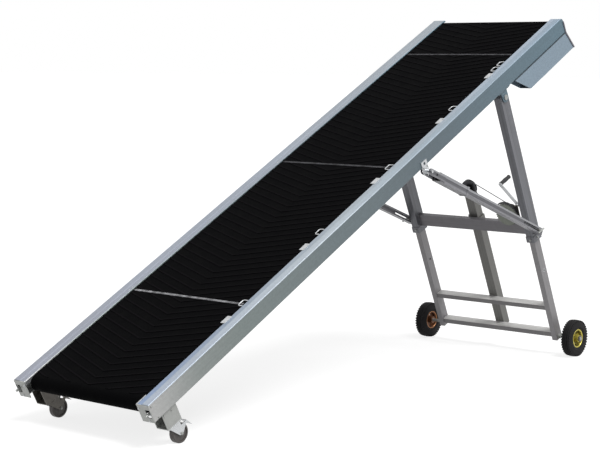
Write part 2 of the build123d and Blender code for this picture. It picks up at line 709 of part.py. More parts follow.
# Upper leg frame
def upper_leg(side):
    y = side * leg_y
    radius = UPPER_LEG_DEPTH / 2
    leg = leg_tube((-UPPER_LEG_END, 0), y, UPPER_LEG_WIDTH, 0, UPPER_LEG_DEPTH, UPPER_LEG_WALL)
    cap = rod(radius, around(y, UPPER_LEG_WIDTH))
    cap -= rod(radius - UPPER_LEG_WALL, around(y, UPPER_LEG_WIDTH - 2 * UPPER_LEG_WALL))
    cap -= block((-radius, radius), around(y, UPPER_LEG_WIDTH), (-radius, 0))
    return leg_at * (leg + cap - rod(HINGE_PIN_RADIUS + PIN_FIT, around(y, UPPER_LEG_WIDTH)))


def collar(side):
    y = side * leg_y
    span = (-UPPER_LEG_END - COLLAR_HEIGHT, -UPPER_LEG_END)
    depth, width = UPPER_LEG_DEPTH + 2 * COLLAR_WALL, UPPER_LEG_WIDTH + 2 * COLLAR_WALL
    opening = (LOWER_LEG_DEPTH + 2 * SLIDE_GAP, LOWER_LEG_WIDTH + 2 * SLIDE_GAP)
    body = block(around(0, depth), around(y, width), span)
    return leg_at * (body - block(around(0, opening[0]), around(y, opening[1]), span))


for name, side in SIDES.items():
    save(f"upper_leg_{name}", upper_leg(side))
    save(f"leg_collar_{name}", collar(side))

crossbar = cross_tube(leg_inner, 0, CROSSBAR_DEPTH, -CROSSBAR_AT, CROSSBAR_HEIGHT, CROSSBAR_WALL)
save("upper_crossbar", leg_at * crossbar)


# Guide strap round the centre post, on the back of the upper crossbar
post_front = LOW_BAR_DEPTH / 2
post_mid = post_front + POST_DEPTH / 2


def post_guide():
    half = POST_WIDTH / 2 + GUIDE_GAP
    back = post_front + POST_DEPTH + GUIDE_GAP
    z = around(-CROSSBAR_AT, GUIDE_HEIGHT)
    outer = block((CROSSBAR_DEPTH / 2, back + GUIDE_WALL), (-half - GUIDE_WALL, half + GUIDE_WALL), z)
    return leg_at * (outer - block((CROSSBAR_DEPTH / 2, back), (-half, half), z))


save("post_guide", post_guide())


# Strut pins on the outer sides of the upper legs, each with a tee handle
def strut_pin(side):
    end = strut_y + STRUT_TUBE_SIZE / 2 + 2 * LINK_THICK
    pin = rod(STRUT_PIN_RADIUS, outwards(side, leg_outer, end), STRUT_PIN_B, -CROSSBAR_AT)
    boss_y = outwards(side, leg_outer, leg_outer + STRUT_LEG_GAP - LINK_GAP)
    boss = rod(2 * STRUT_PIN_RADIUS, boss_y, STRUT_PIN_B, -CROSSBAR_AT)
    handle = forward_rod(TEE_RADIUS, around(STRUT_PIN_B, TEE_LENGTH), side * end, -CROSSBAR_AT)
    return leg_at * (pin + boss + handle)


for name, side in SIDES.items():
    save(f"strut_pin_{name}", strut_pin(side))


# Lower leg frame with its bars, centre post and axles
axle_bar_at = axle_at - AXLE_BAR_RISE
axle_bar_base = axle_bar_at + AXLE_BAR_HEIGHT / 2
bar_half = leg_y - LOWER_LEG_WIDTH / 2
axle_outer = leg_y + LOWER_LEG_WIDTH / 2


def lower_leg(side):
    y = side * leg_y
    span = (-axle_at - LEG_FOOT, -LOWER_LEG_TOP)
    leg = leg_tube(span, y, LOWER_LEG_WIDTH, 0, LOWER_LEG_DEPTH, LOWER_LEG_WALL)
    return leg_at * (leg - rod(PIN_HOLE_RADIUS, around(y, LOWER_LEG_WIDTH), 0, -PIN_HOLE_AT))


for name, side in SIDES.items():
    save(f"lower_leg_{name}", lower_leg(side))

post = leg_tube((-axle_bar_base, -POST_TOP), 0, POST_WIDTH, post_mid, POST_DEPTH, POST_WALL)
save("centre_post", leg_at * post)
low_bar = cross_tube(bar_half, 0, LOW_BAR_DEPTH, -LOW_BAR_AT, LOW_BAR_HEIGHT, LOW_BAR_WALL)
save("low_crossbar", leg_at * low_bar)
axle_bar = cross_tube(bar_half, 0, LOW_BAR_DEPTH, -axle_bar_at, AXLE_BAR_HEIGHT, LOW_BAR_WALL)
save("axle_bar", leg_at * axle_bar)


def stub_axle(side):
    hub_end = wheel_y + HUB_LENGTH / 2
    axle = rod(AXLE_RADIUS, outwards(side, axle_outer, hub_end + AXLE_END), 0, -axle_at)
    axle += rod(AXLE_FLANGE_RADIUS, outwards(side, axle_outer, axle_outer + AXLE_FLANGE), 0, -axle_at)
    nut_start = hub_end + HUB_GAP
    axle += rod(AXLE_NUT_RADIUS, outwards(side, nut_start, nut_start + AXLE_NUT), 0, -axle_at)
    return leg_at * axle


for name, side in SIDES.items():
    save(f"stub_axle_{name}", stub_axle(side))


# Road wheels
def tyre(side):
    limits = around(side * wheel_y, TYRE_WIDTH)
    body = rod(WHEEL_RADIUS, limits)
    body = fillet(body.edges().filter_by(GeomType.CIRCLE), TYRE_SHOULDER)
    return wheel_at * (body - rod(RIM_RADIUS, limits))


def rim(side):
    y = side * wheel_y
    limits = around(y, TYRE_WIDTH - 2 * RIM_INSET)
    disc = rod(RIM_RADIUS - RIM_WALL / 2, around(y, RIM_DISC))
    for i in range(RIM_HOLES):
        disc -= Rot(0, 360 / RIM_HOLES * i, 0) * rod(RIM_HOLE_RADIUS, around(y, RIM_DISC), RIM_HOLE_CIRCLE)
    barrel = rod(RIM_RADIUS, limits) - rod(RIM_RADIUS - RIM_WALL, limits)
    hub_y = around(y, HUB_LENGTH)
    return wheel_at * (barrel + disc + rod(HUB_RADIUS, hub_y) - rod(AXLE_RADIUS + PIN_FIT, hub_y))


for name, side in SIDES.items():
    save(f"tyre_{name}", tyre(side))
    save(f"rim_{name}", rim(side))


# Telescopic struts: a sleeve on two links, and a slotted tube that slides in it
def strut_tube_body(span, y, size, wall):
    outer = block(span, around(y, size), around(0, size))
    return outer - block(span, around(y, size - 2 * wall), around(0, size - 2 * wall))


def strut_sleeve(side):
    y = side * strut_y
    end = SLEEVE_START + SLEEVE_LENGTH
    body = strut_tube_body((SLEEVE_START, end), y, SLEEVE_SIZE, SLEEVE_WALL)
    for low in (y - SLEEVE_SIZE / 2 - LINK_THICK, y + SLEEVE_SIZE / 2):
        limits = (low, low + LINK_THICK)
        link = block((0, SLEEVE_START + LINK_LAP), limits, around(0, 2 * LINK_RADIUS)) + rod(LINK_RADIUS, limits)
        body += link - rod(LINK_HOLE_RADIUS, limits, LINK_HOLE_AT)
    band_span = (end - SLEEVE_BAND_LENGTH, end)
    body += strut_tube_body(band_span, y, SLEEVE_SIZE + 2 * SLEEVE_BAND, SLEEVE_WALL)
    return strut_at * (body - rod(STRUT_PIN_RADIUS + PIN_FIT, around(y, 2 * SLEEVE_SIZE)))


def strut_tube(side):
    y = side * strut_y
    start = SLEEVE_START + SLEEVE_LENGTH - STRUT_TUBE_LAP
    body = strut_tube_body((start, strut_length + STRUT_END), y, STRUT_TUBE_SIZE, STRUT_TUBE_WALL)
    half = STRUT_PIN_RADIUS + STRUT_SLOT_SLACK
    y_all = around(y, STRUT_TUBE_SIZE)
    slot = (strut_length - STRUT_SLOT_LENGTH + half, strut_length + STRUT_SLOT_PAST)
    body -= block(slot, y_all, (-half, half))
    for end in slot:
        body -= rod(half, y_all, end)
    return strut_at * body


for name, side in SIDES.items():
    save(f"strut_sleeve_{name}", strut_sleeve(side))
    save(f"strut_tube_{name}", strut_tube(side))


# Hand winch on the upper crossbar: side plates and drum, toothed gear and crank
winch_y = -leg_y + WINCH_FROM_LEG
winch_plate_back = -WINCH_INNER / 2 - WINCH_PLATE_THICK


def winch():
    base = -CROSSBAR_AT + CROSSBAR_HEIGHT / 2
    drum_b = around(0, WINCH_INNER)
    plate_y = around(winch_y, WINCH_PLATE_WIDTH)
    body = block(around(0, WINCH_INNER), plate_y, (base, base + WINCH_PLATE_THICK))
    for b in (winch_plate_back, drum_b[1]):
        plate_b = (b, b + WINCH_PLATE_THICK)
        body += block(plate_b, plate_y, (base, -WINCH_AT + WINCH_PLATE_ABOVE))
    for b in (drum_b[0], drum_b[1] - WINCH_PLATE_THICK):
        body += forward_rod(WINCH_FLANGE_RADIUS, (b, b + WINCH_PLATE_THICK), winch_y, -WINCH_AT)
    body += forward_rod(WINCH_DRUM_RADIUS, drum_b, winch_y, -WINCH_AT)
    return leg_at * body


def winch_gear():
    outline = []
    for i in range(4 * GEAR_TEETH):
        angle = math.radians(90 / GEAR_TEETH * i)
        radius = GEAR_RADIUS if i % 4 in (1, 2) else GEAR_RADIUS - GEAR_TOOTH
        outline.append((winch_plate_back, radius * math.sin(angle), radius * math.cos(angle)))
    disc = extrude(make_face(Polyline(*outline, close=True)), amount=GEAR_THICK, dir=(-1, 0, 0))
    return leg_at * Pos(0, winch_y, -WINCH_AT) * disc


crank_at = leg_at * Pos(0, winch_y, -WINCH_AT) * Rot(-CRANK_ANGLE, 0, 0)
crank_b = (CRANK_OFFSET, CRANK_OFFSET + CRANK_THICK)
spindle_end = crank_b[1] + GRIP_LENGTH


def crank():
    shaft_start = WINCH_INNER / 2 + WINCH_PLATE_THICK + LINK_GAP
    arm = block(crank_b, around(0, CRANK_WIDTH), (0, CRANK_ARM))
    arm += forward_rod(CRANK_BOSS_RADIUS, crank_b) + forward_rod(CRANK_WIDTH / 2, crank_b, 0, CRANK_ARM)
    arm += forward_rod(CRANK_SHAFT_RADIUS, (shaft_start, crank_b[1]))
    return crank_at * (arm + forward_rod(SPINDLE_RADIUS, (CRANK_OFFSET, spindle_end), 0, CRANK_ARM))


def crank_grip():
    grip = forward_rod(GRIP_RADIUS, (crank_b[1] + LINK_GAP, spindle_end), 0, CRANK_ARM)
    return crank_at * (grip - forward_rod(SPINDLE_RADIUS, (CRANK_OFFSET, spindle_end), 0, CRANK_ARM))


save("winch_frame", winch())
save("winch_gear", winch_gear())
save("crank_arm", crank())
save("crank_grip", crank_grip())


# Cable sheave on top of the centre post
def sheave():
    wheel = forward_rod(SHEAVE_RADIUS, around(post_mid, SHEAVE_WIDTH), 0, -SHEAVE_AT)
    wheel -= Pos(post_mid, 0, -SHEAVE_AT) * Rot(0, 90, 0) * Torus(SHEAVE_RADIUS, SHEAVE_GROOVE)
    for b in (post_front, post_front + POST_DEPTH - CHEEK_THICK):
        wheel += block((b, b + CHEEK_THICK), around(0, CHEEK_WIDTH), (-POST_TOP, -SHEAVE_AT + CHEEK_ABOVE))
    return leg_at * (wheel + forward_rod(SHEAVE_AXLE_RADIUS, around(post_mid, POST_DEPTH), 0, -SHEAVE_AT))


save("sheave", sheave())

print("tail height", round(tail_height, 1), "hinge to axle", round(axle_at, 1), "strut", round(strut_length, 1))
print("tail x", round(tail_x, 2))
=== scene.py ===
# %% [markdown]
# # Dressing a portable belt conveyor
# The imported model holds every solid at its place. This lesson leaves those solids where they are, gives
# each one the finish of its real material, and adds what a plain solid lacks: screws, clips, welds, tread
# and rope. Places in the world are in metres, as Blender has them, and sizes are in millimetres, turned
# by MM. X runs from the tail to the raised head, Y across, Z up.

# %% Load the frame
import json
import math

import bmesh
import bpy
from mathutils import Matrix, Vector


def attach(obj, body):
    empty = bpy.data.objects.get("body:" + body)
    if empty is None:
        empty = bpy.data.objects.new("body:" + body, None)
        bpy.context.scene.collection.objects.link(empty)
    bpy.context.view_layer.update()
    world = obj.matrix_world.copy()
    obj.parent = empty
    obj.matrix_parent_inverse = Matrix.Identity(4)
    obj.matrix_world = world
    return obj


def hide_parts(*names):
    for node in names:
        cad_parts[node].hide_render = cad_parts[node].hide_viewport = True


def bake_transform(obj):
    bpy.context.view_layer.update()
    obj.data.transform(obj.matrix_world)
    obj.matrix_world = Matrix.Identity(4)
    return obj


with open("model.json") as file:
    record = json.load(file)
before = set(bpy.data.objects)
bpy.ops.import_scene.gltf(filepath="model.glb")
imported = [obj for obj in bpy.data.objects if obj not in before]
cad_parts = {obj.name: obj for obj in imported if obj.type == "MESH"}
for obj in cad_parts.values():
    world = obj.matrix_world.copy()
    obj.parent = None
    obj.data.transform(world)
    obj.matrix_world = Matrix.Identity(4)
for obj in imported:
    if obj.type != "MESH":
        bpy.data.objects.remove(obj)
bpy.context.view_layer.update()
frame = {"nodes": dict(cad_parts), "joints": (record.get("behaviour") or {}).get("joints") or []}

nodes = frame["nodes"]
scene = bpy.context.scene
MM = 0.001

# %% [markdown]
# Two slanted frames make the machine easy to work on. The deck's frame runs along the belt, and the leg
# frame's runs down the legs from the hinge, so a screw is placed by sizes that a fitter could measure.

# %% Frames of the deck and of the legs
DECK_SLOPE = math.radians(28)
LEG_SLOPE = math.radians(24.65)                 # 3.35 degrees steeper than square to the deck
TAIL_CORNER = Vector((-1.8234, 0, 0.1353))      # midway between the rails' lower tail corners
hinge = next(j for j in frame["joints"] if j["name"] == "leg_fold")
HINGE_POINT = Vector(hinge["pos_m"])
wheel_joint = next(j for j in frame["joints"] if j["name"] == "wheel_spin_near")
AXLE_AT = (HINGE_POINT - Vector(wheel_joint["pos_m"])).z / math.cos(LEG_SLOPE) / MM


def slanted(origin, angle):
    return Matrix.Translation(origin) @ Matrix.Rotation(-angle, 4, "Y")


deck_frame = slanted(TAIL_CORNER, DECK_SLOPE)
leg_frame = slanted(HINGE_POINT, LEG_SLOPE)


def deck(s, y, n):
    """A place on the deck: along the rails, across, and square to the belt, in millimetres."""
    return deck_frame @ (Vector((s, y, n)) * MM)


def leg(b, y, down):
    """A place on the legs: ahead of their centre line, across, and down from the hinge, in millimetres."""
    return leg_frame @ (Vector((b, y, -down)) * MM)


def deck_way(s, y, n):
    return deck_frame.to_3x3() @ Vector((s, y, n))


def leg_way(b, y, down):
    return leg_frame.to_3x3() @ Vector((b, y, -down))


print("hinge at", [round(v, 4) for v in HINGE_POINT], "axle", round(AXLE_AT, 1), "mm down the legs")

# %% [markdown]
# Colours are written as they look on a screen, in sRGB hex, and one function turns them to the linear
# values that Blender's shaders use. A second small function adds any node with its settings and links.


# %% Colour and node helpers
def linear(code):
    values = [int(code[i:i + 2], 16) / 255 for i in (1, 3, 5)]
    return (*[v / 12.92 if v <= 0.04045 else ((v + 0.055) / 1.055) ** 2.4 for v in values], 1.0)


def add(tree, kind, inputs=None, **settings):
    """Adds a node, sets its own settings, and fills its inputs with values or with other nodes' sockets."""
    node = tree.nodes.new(kind)
    for name, value in settings.items():
        setattr(node, name, value)
    for socket, value in (inputs or {}).items():
        if isinstance(value, bpy.types.NodeSocket):
            tree.links.new(value, node.inputs[socket])
        else:
            node.inputs[socket].default_value = value
    return node


MIX_A, MIX_B, MIX_OUT = 6, 7, 2     # the colour sockets of a Mix node
print("white is", linear("#ffffff")[0])

# %% [markdown]
# Every finish here is one recipe with other numbers. Tones run along the piece, so the rails can be paler at
# the tail and slate grey towards the head. Zones give a strip its own tone, lengthwise streaks come from the
# rolling mill, and spangle is the crystal pattern of hot zinc, about 9 mm across. Streaks also move the
# roughness, so that a reflection breaks up as it does on real sheet.

# %% One recipe for a finish
TONE_RUN = 4.0                      # metres that a ramp of tones covers
NOISE_LOW, NOISE_HIGH = 0.3, 0.7    # where nearly all of a noise's values lie
GRAIN_HEIGHT = 0.2 * MM


def make_finish(name, tones, zones=(), origin=TAIL_CORNER, angle=DECK_SLOPE, streak=(700.0, 60.0, 7.0),
                depth=0.08, spangle=9.0, sparkle=0.05, metal=0.3, rough=(0.36, 0.5), grain=1.2,
                relief=0.12, specular=0.5):
    """A tone is (metres along, colour). A zone is (axis, where it starts, where it is full, tones).

    Streak, spangle and grain are sizes in millimetres. Depth and sparkle say how far streaks and
    spangle lighten and darken the tone."""
    material = bpy.data.materials.new(name)
    material.use_nodes = True
    tree = material.node_tree
    shader = tree.nodes["Principled BSDF"]
    shader.inputs["Metallic"].default_value = metal
    shader.inputs["Specular IOR Level"].default_value = specular
    start = Matrix.Rotation(angle, 3, "Y") @ origin
    here = add(tree, "ShaderNodeTexCoord")
    place = add(tree, "ShaderNodeMapping", {"Vector": here.outputs["Object"], "Rotation": (0, angle, 0),
                                            "Location": -start})
    part = add(tree, "ShaderNodeSeparateXYZ", {"Vector": place.outputs[0]})
    outward = add(tree, "ShaderNodeMath", {0: part.outputs["Y"]}, operation="ABSOLUTE")
    axes = {"X": part.outputs["X"], "Y": outward.outputs[0], "Z": part.outputs["Z"]}
    length = add(tree, "ShaderNodeMath", {0: part.outputs["X"], 1: TONE_RUN}, operation="DIVIDE")
    colour = None
    for axis, low, high, run in ((None, 0, 1, tones), *zones):
        ramp = add(tree, "ShaderNodeValToRGB", {"Fac": length.outputs[0]})
        while len(ramp.color_ramp.elements) < len(run):
            ramp.color_ramp.elements.new(1.0)
        for element, (metres, code) in zip(ramp.color_ramp.elements, run):
            element.position = metres / TONE_RUN
            element.color = linear(code)
        if len(run) == 1:
            ramp.color_ramp.elements[1].color = linear(run[0][1])
        if colour is None:
            colour = ramp.outputs["Color"]
            continue
        share = add(tree, "ShaderNodeMapRange", {"Value": axes[axis], "From Min": low, "From Max": high})
        zoned = add(tree, "ShaderNodeMix", {"Factor": share.outputs[0], MIX_A: colour,
                                            MIX_B: ramp.outputs["Color"]}, data_type="RGBA")
        colour = zoned.outputs[MIX_OUT]
    scaled = add(tree, "ShaderNodeMapping", {"Vector": place.outputs[0],
                                             "Scale": [1 / (MM * v) for v in streak]})
    streaks = add(tree, "ShaderNodeTexNoise", {"Vector": scaled.outputs[0], "Scale": 1.0, "Detail": 5.0})
    crystals = add(tree, "ShaderNodeTexVoronoi", {"Vector": place.outputs[0], "Scale": 1 / (MM * spangle)})
    cell = add(tree, "ShaderNodeSeparateColor", {"Color": crystals.outputs["Color"]})
    patterns = [(streaks.outputs["Fac"], NOISE_LOW, NOISE_HIGH, depth), (cell.outputs[0], 0.0, 1.0, sparkle)]
    for source, low, high, amount in patterns:
        level = add(tree, "ShaderNodeMapRange", {"Value": source, "From Min": low, "From Max": high,
                                                 "To Min": 1 - amount, "To Max": 1 + amount})
        toned = add(tree, "ShaderNodeMix", {"Factor": 1.0, MIX_A: colour, MIX_B: level.outputs[0]},
                    data_type="RGBA", blend_type="MULTIPLY")
        colour = toned.outputs[MIX_OUT]
    tree.links.new(colour, shader.inputs["Base Color"])
    gloss = add(tree, "ShaderNodeMapRange", {"Value": streaks.outputs["Fac"], "From Min": NOISE_LOW,
                                             "From Max": NOISE_HIGH, "To Min": rough[0], "To Max": rough[1]})
    tree.links.new(gloss.outputs[0], shader.inputs["Roughness"])
    fine = add(tree, "ShaderNodeTexNoise", {"Vector": place.outputs[0], "Scale": 1 / (MM * grain),
                                            "Detail": 2.0})
    bump = add(tree, "ShaderNodeBump", {"Height": fine.outputs["Fac"], "Strength": relief,
                                        "Distance": GRAIN_HEIGHT})
    tree.links.new(bump.outputs[0], shader.inputs["Normal"])
    return material


print("a ramp of tones covers", TONE_RUN, "m")

# %% [markdown]
# The rails, the drive cover and the bed under the belt are galvanised sheet. The rails' top flange has a
# pale outer strip, painted lighter than the web as a painted highlight where it faces up, and on the near
# rail a bluish joggled inner strip, whose tone is painted shade. Their web darkens from the tail towards
# the head.

# %% Galvanised sheet
FLANGE_LEVEL = (95.2 * MM, 96.4 * MM)       # up from the rail's foot, where the flange takes over
INNER_STRIP = (436.0 * MM, 432.0 * MM)      # out from the deck's middle, where the strip takes over
web_tones = [(0.0, "#c2c2c1"), (0.35, "#969d9b"), (0.7, "#848e8d"), (1.5, "#727e82"), (2.5, "#64727a"),
             (3.9, "#657f8d")]
# The flange's tones are a painted highlight on its upward face, and the inner strip's are painted shade.
lit_flange_tones = [(0.0, "#aab4c2"), (1.5, "#b6c0c8"), (2.3, "#9fadb8"), (3.9, "#92a5b6")]
shaded_strip_tones = [(0.0, "#8ca0c0"), (0.8, "#939fad"), (1.8, "#a6b0b8"), (3.9, "#a3b1c1")]
lit_far_flange_tones = [(0.0, "#9a9eaa"), (2.0, "#9aa2ae"), (3.9, "#9fa8b0")]
near_zones = [("Z", *FLANGE_LEVEL, lit_flange_tones), ("Y", *INNER_STRIP, shaded_strip_tones)]
galvanised_sheet = make_finish("galvanised_sheet", web_tones, near_zones)
galvanised_far = make_finish("galvanised_sheet_far", web_tones, [("Z", *FLANGE_LEVEL, lit_far_flange_tones)])
cover_sheet = make_finish("galvanised_cover_sheet", [(0.0, "#8ea1b0")], streak=(12.0, 40.0, 400.0),
                          depth=0.06)
bed_sheet = make_finish("galvanised_bed_sheet", [(0.0, "#7c868b")], depth=0.05)
print("finishes so far", len(bpy.data.materials))

# %% [markdown]
# The legs are drawn steel tube under clear coat, dull and a little purple, with drawing lines down the
# tube. The upper legs are darker than the lower ones. The tops of the two low bars are painted bright, a
# painted highlight of the light from above.

# %% Drawn tube of the legs
CROSSBAR_AT, LOW_BAR_AT, AXLE_BAR_AT = 879.0, 1437.0, AXLE_AT - 22.0      # down the legs from the hinge
LOW_BAR_HALF, AXLE_BAR_HALF = 15.0, 16.0
TOP_LIGHT_START, TOP_LIGHT_FULL = 1.2, 0.3                                            # below the top of a bar
LINES_DOWN, LINES_ACROSS = (9.0, 9.0, 900.0), (9.0, 900.0, 9.0)
LEG_FINISH = {"origin": HINGE_POINT, "angle": LEG_SLOPE, "spangle": 40.0, "sparkle": 0.03}
upper_tube = make_finish("drawn_tube_upper", [(0.0, "#74757a")], streak=LINES_DOWN, depth=0.24, **LEG_FINISH)
lower_tube = make_finish("drawn_tube_lower", [(0.0, "#908e90")], streak=LINES_DOWN, depth=0.1, **LEG_FINISH)
cross_tube = make_finish("drawn_tube_across", [(0.0, "#78767a")], streak=LINES_ACROSS, depth=0.12,
                         **LEG_FINISH)
post_tube = make_finish("drawn_tube_post", [(0.0, "#73726f")], streak=LINES_DOWN, depth=0.16, **LEG_FINISH)
top_lit_tubes = {}
# A painted highlight: the pale zone lights the top of each low bar.
for bar, top in (("low_crossbar", LOW_BAR_AT - LOW_BAR_HALF), ("axle_bar", AXLE_BAR_AT - AXLE_BAR_HALF)):
    painted_top_light = ("Z", -(top + TOP_LIGHT_START) * MM, -(top + TOP_LIGHT_FULL) * MM, [(0.0, "#c6c5c3")])
    top_lit_tubes[bar] = make_finish(f"drawn_tube_{bar}", [(0.0, "#7b797a")], [painted_top_light], streak=LINES_ACROSS,
                                  depth=0.14, **LEG_FINISH)
print("finishes so far", len(bpy.data.materials))

# %% [markdown]
# The struts are drawn square tube too. Each has a dark band along the middle of its faces, painted shade,
# and a brighter edge above it, a painted highlight, so the zones are measured along the strut's own slope.

# %% Drawn tube of the struts
STRUT_S, STRUT_DROP, STRUT_PIN_B = 2355.0, 30.0, -20.0      # upper pin on the deck, lower pin on the legs
BAND_FULL, BAND_EDGE = 8.5, 10.0                            # half the band's height, and its soft edge
STRUT_TOP = deck(STRUT_S, 0, -STRUT_DROP)
strut_run = leg(STRUT_PIN_B, 0, CROSSBAR_AT) - STRUT_TOP
STRUT_SLOPE = math.atan2(strut_run.z, strut_run.x)
# Painted shade in the middle band, and a painted highlight on the edge above it.
strut_shade_and_highlight = [("Z", -BAND_EDGE * MM, -BAND_FULL * MM, [(0.0, "#65656a")]),
               ("Z", BAND_FULL * MM, BAND_EDGE * MM, [(0.0, "#a8a9ad")])]
strut_steel = make_finish("drawn_strut_tube", [(0.0, "#8b8b90")], strut_shade_and_highlight, origin=STRUT_TOP,
                          angle=STRUT_SLOPE, streak=(500.0, 6.0, 6.0), depth=0.25, spangle=40.0, sparkle=0.03)
print("strut slope", round(math.degrees(STRUT_SLOPE), 2), "degrees")

# %% [markdown]
# Small hardware is zinc plated, bright and nearly white where new, and dull. The darkest zinc is painted
# shade, for the far casters and the winch frame in the deck's shadow, and the axle nuts take it too. The rims
# carry a yellow passivated zinc, which the far wheel shows browner. The winch gear is cast and greenish
# grey. The belt's clips are zinc too, darker in patches over most of them, and darker still on the rows
# further up.

# %% Plated, turned and cast metal
DARKEN_START, DARKEN_FULL = 1.5, 1.6      # metres up the deck
SMALL = {"streak": (30.0, 30.0, 30.0), "spangle": 4.0, "grain": 0.6}
bright_zinc = make_finish("bright_zinc_plate", [(0.0, "#c9cbcd")], metal=0.75, rough=(0.2, 0.34), **SMALL)
dull_zinc = make_finish("dull_zinc_plate", [(0.0, "#aeb0ad")], metal=0.35, rough=(0.34, 0.5), **SMALL)
# Painted shade: a darker copy of the zinc for parts in the deck's shadow.
shaded_zinc = make_finish("shaded_zinc_plate", [(0.0, "#6c6862")], metal=0.4, depth=0.25, **SMALL)
dark_zinc = make_finish("blackened_steel", [(0.0, "#3c3c40")], metal=0.5, rough=(0.3, 0.5), **SMALL)
yellow_zinc = make_finish("yellow_passivated_zinc", [(0.0, "#d3c65e")], metal=0.6, rough=(0.2, 0.36), **SMALL)
worn_yellow = make_finish("worn_yellow_zinc", [(0.0, "#8b8340")], metal=0.4, depth=0.3, **SMALL)
worn_brown = make_finish("worn_brown_zinc", [(0.0, "#6b4429")], metal=0.4, depth=0.3, **SMALL)
brown_zinc = make_finish("brown_passivated_zinc", [(0.0, "#9c6a44")], metal=0.6, rough=(0.24, 0.4), **SMALL)
cast_gear = make_finish("cast_gear_iron", [(0.0, "#7f837a")], metal=0.4, depth=0.15, **SMALL)
# The clips are darker in patches, and darker still on the rows further up the deck.
clip_darkening = ("X", DARKEN_START, DARKEN_FULL, [(0.0, "#48484b")])
clip_zinc = make_finish("patchy_clip_zinc", [(0.0, "#8b8b8e")], [clip_darkening], streak=(45.0, 45.0, 45.0), depth=0.9,
                        metal=0.1, rough=(0.5, 0.7), specular=0.2)
turned_steel = make_finish("turned_drum_steel", [(0.0, "#8e9194")], streak=(50.0, 900.0, 50.0), metal=0.6)
rope_steel = make_finish("steel_wire_rope", [(0.0, "#7b7c7e")], metal=0.6, rough=(0.35, 0.5), **SMALL)
WHEEL_METAL = {"near": yellow_zinc, "far": brown_zinc}
print("finishes so far", len(bpy.data.materials))

# %% [markdown]
# The belt and tyres are vulcanised rubber: nearly black and dull, with a fine moulded grain. The tops of
# the belt's ribs are painted a shade lighter, a painted sheen. The grip and the caster treads are moulded
# plastic, and the motor is sprayed enamel.

# %% Rubber, plastic and enamel
RIB_LEVEL = (94.0 * MM, 95.5 * MM)      # up from the rail's foot, where the ribs stand out of the belt
MOULDED = {"metal": 0.0, "sparkle": 0.0, "streak": (60.0, 60.0, 60.0)}
# Painted sheen on the rib tops.
rib_top_sheen = ("Z", *RIB_LEVEL, [(0.0, "#0e0d0f")])
belt_rubber = make_finish("vulcanised_belt_rubber", [(0.0, "#060607")], [rib_top_sheen], depth=0.3,
                          rough=(0.8, 0.95), relief=0.3, specular=0.03, **MOULDED)
tyre_rubber = make_finish("vulcanised_tyre_rubber", [(0.0, "#2a292a")], depth=0.2, rough=(0.6, 0.8),
                          relief=0.3, specular=0.12, **MOULDED)
tread_plastic = make_finish("moulded_caster_tread", [(0.0, "#575250")], depth=0.12, rough=(0.4, 0.55),
                            **MOULDED)
black_plastic = make_finish("moulded_black_plastic", [(0.0, "#17171a")], depth=0.12, rough=(0.35, 0.5),
                            **MOULDED)
# Painted shade: a dark strip for the shadowed gap under the near rail.
gap_shade_finish = make_finish("gap_shade_strip", [(0.0, "#3b464d")], depth=0.12, rough=(0.5, 0.65),
                          **MOULDED)
trim_plastic = make_finish("extruded_edge_trim", [(0.0, "#68656f")], depth=0.1, rough=(0.4, 0.55),
                           **MOULDED)
motor_enamel = make_finish("sprayed_motor_enamel", [(0.0, "#56616a")], depth=0.04, rough=(0.3, 0.4),
                           relief=0.05, **MOULDED)
print("finishes so far", len(bpy.data.materials))

# %% [markdown]
# Each solid of the frame keeps its shape and takes the finish of its real material. Rows are tried from the
# top, and the first one that holds the start of the solid's name wins.

# %% Dress the solids
FINISHES = [    # what the names start with, finish
    (("belt_lacing",), clip_zinc), (("belt",), belt_rubber), (("tyre_",), tyre_rubber),
    (("rim_far",), worn_brown), (("rim_",), worn_yellow), (("caster_wheel",), tread_plastic),
    (("crank_grip",), black_plastic), (("drive_motor",), motor_enamel), (("sheave",), dark_zinc),
    (("head_drum", "tail_drum", "return_rollers"), turned_steel), (("winch_gear",), cast_gear),
    # The far casters and the winch frame take the zinc that is painted shade.
    (("winch_frame", "caster_bracket_far", "caster_fork_far", "caster_plate_far"), shaded_zinc),
    (("caster_bracket", "tensioner", "strut_pin", "hinge_pin", "stub_axle", "head_bearing"), dull_zinc),
    (("caster_", "guard_loops", "edge_tabs", "crank_arm", "strut_bracket"), bright_zinc),
    (("rail_far",), galvanised_far), (("rail_", "hinge_bracket"), galvanised_sheet),
    (("drive_cover",), cover_sheet), (("slider_bed", "cross_members"), bed_sheet),
    (("strut_",), strut_steel), (("upper_leg", "leg_collar"), upper_tube),
    (("upper_crossbar",), cross_tube), (("low_crossbar",), top_lit_tubes["low_crossbar"]),
    (("axle_bar",), top_lit_tubes["axle_bar"]), (("centre_post", "post_guide"), post_tube), (("",), lower_tube),
]
for name, solid in nodes.items():
    finish = next(material for starts, material in FINISHES if name.startswith(starts))
    solid.data.materials.clear()
    solid.data.materials.append(finish)
print("dressed", len(nodes), "solids")

# %% [markdown]
# The picture is taken with a long lens from behind and to the left of the tail, a little above the belt's
# tail end. The camera's place comes from the machine's own straight edges.

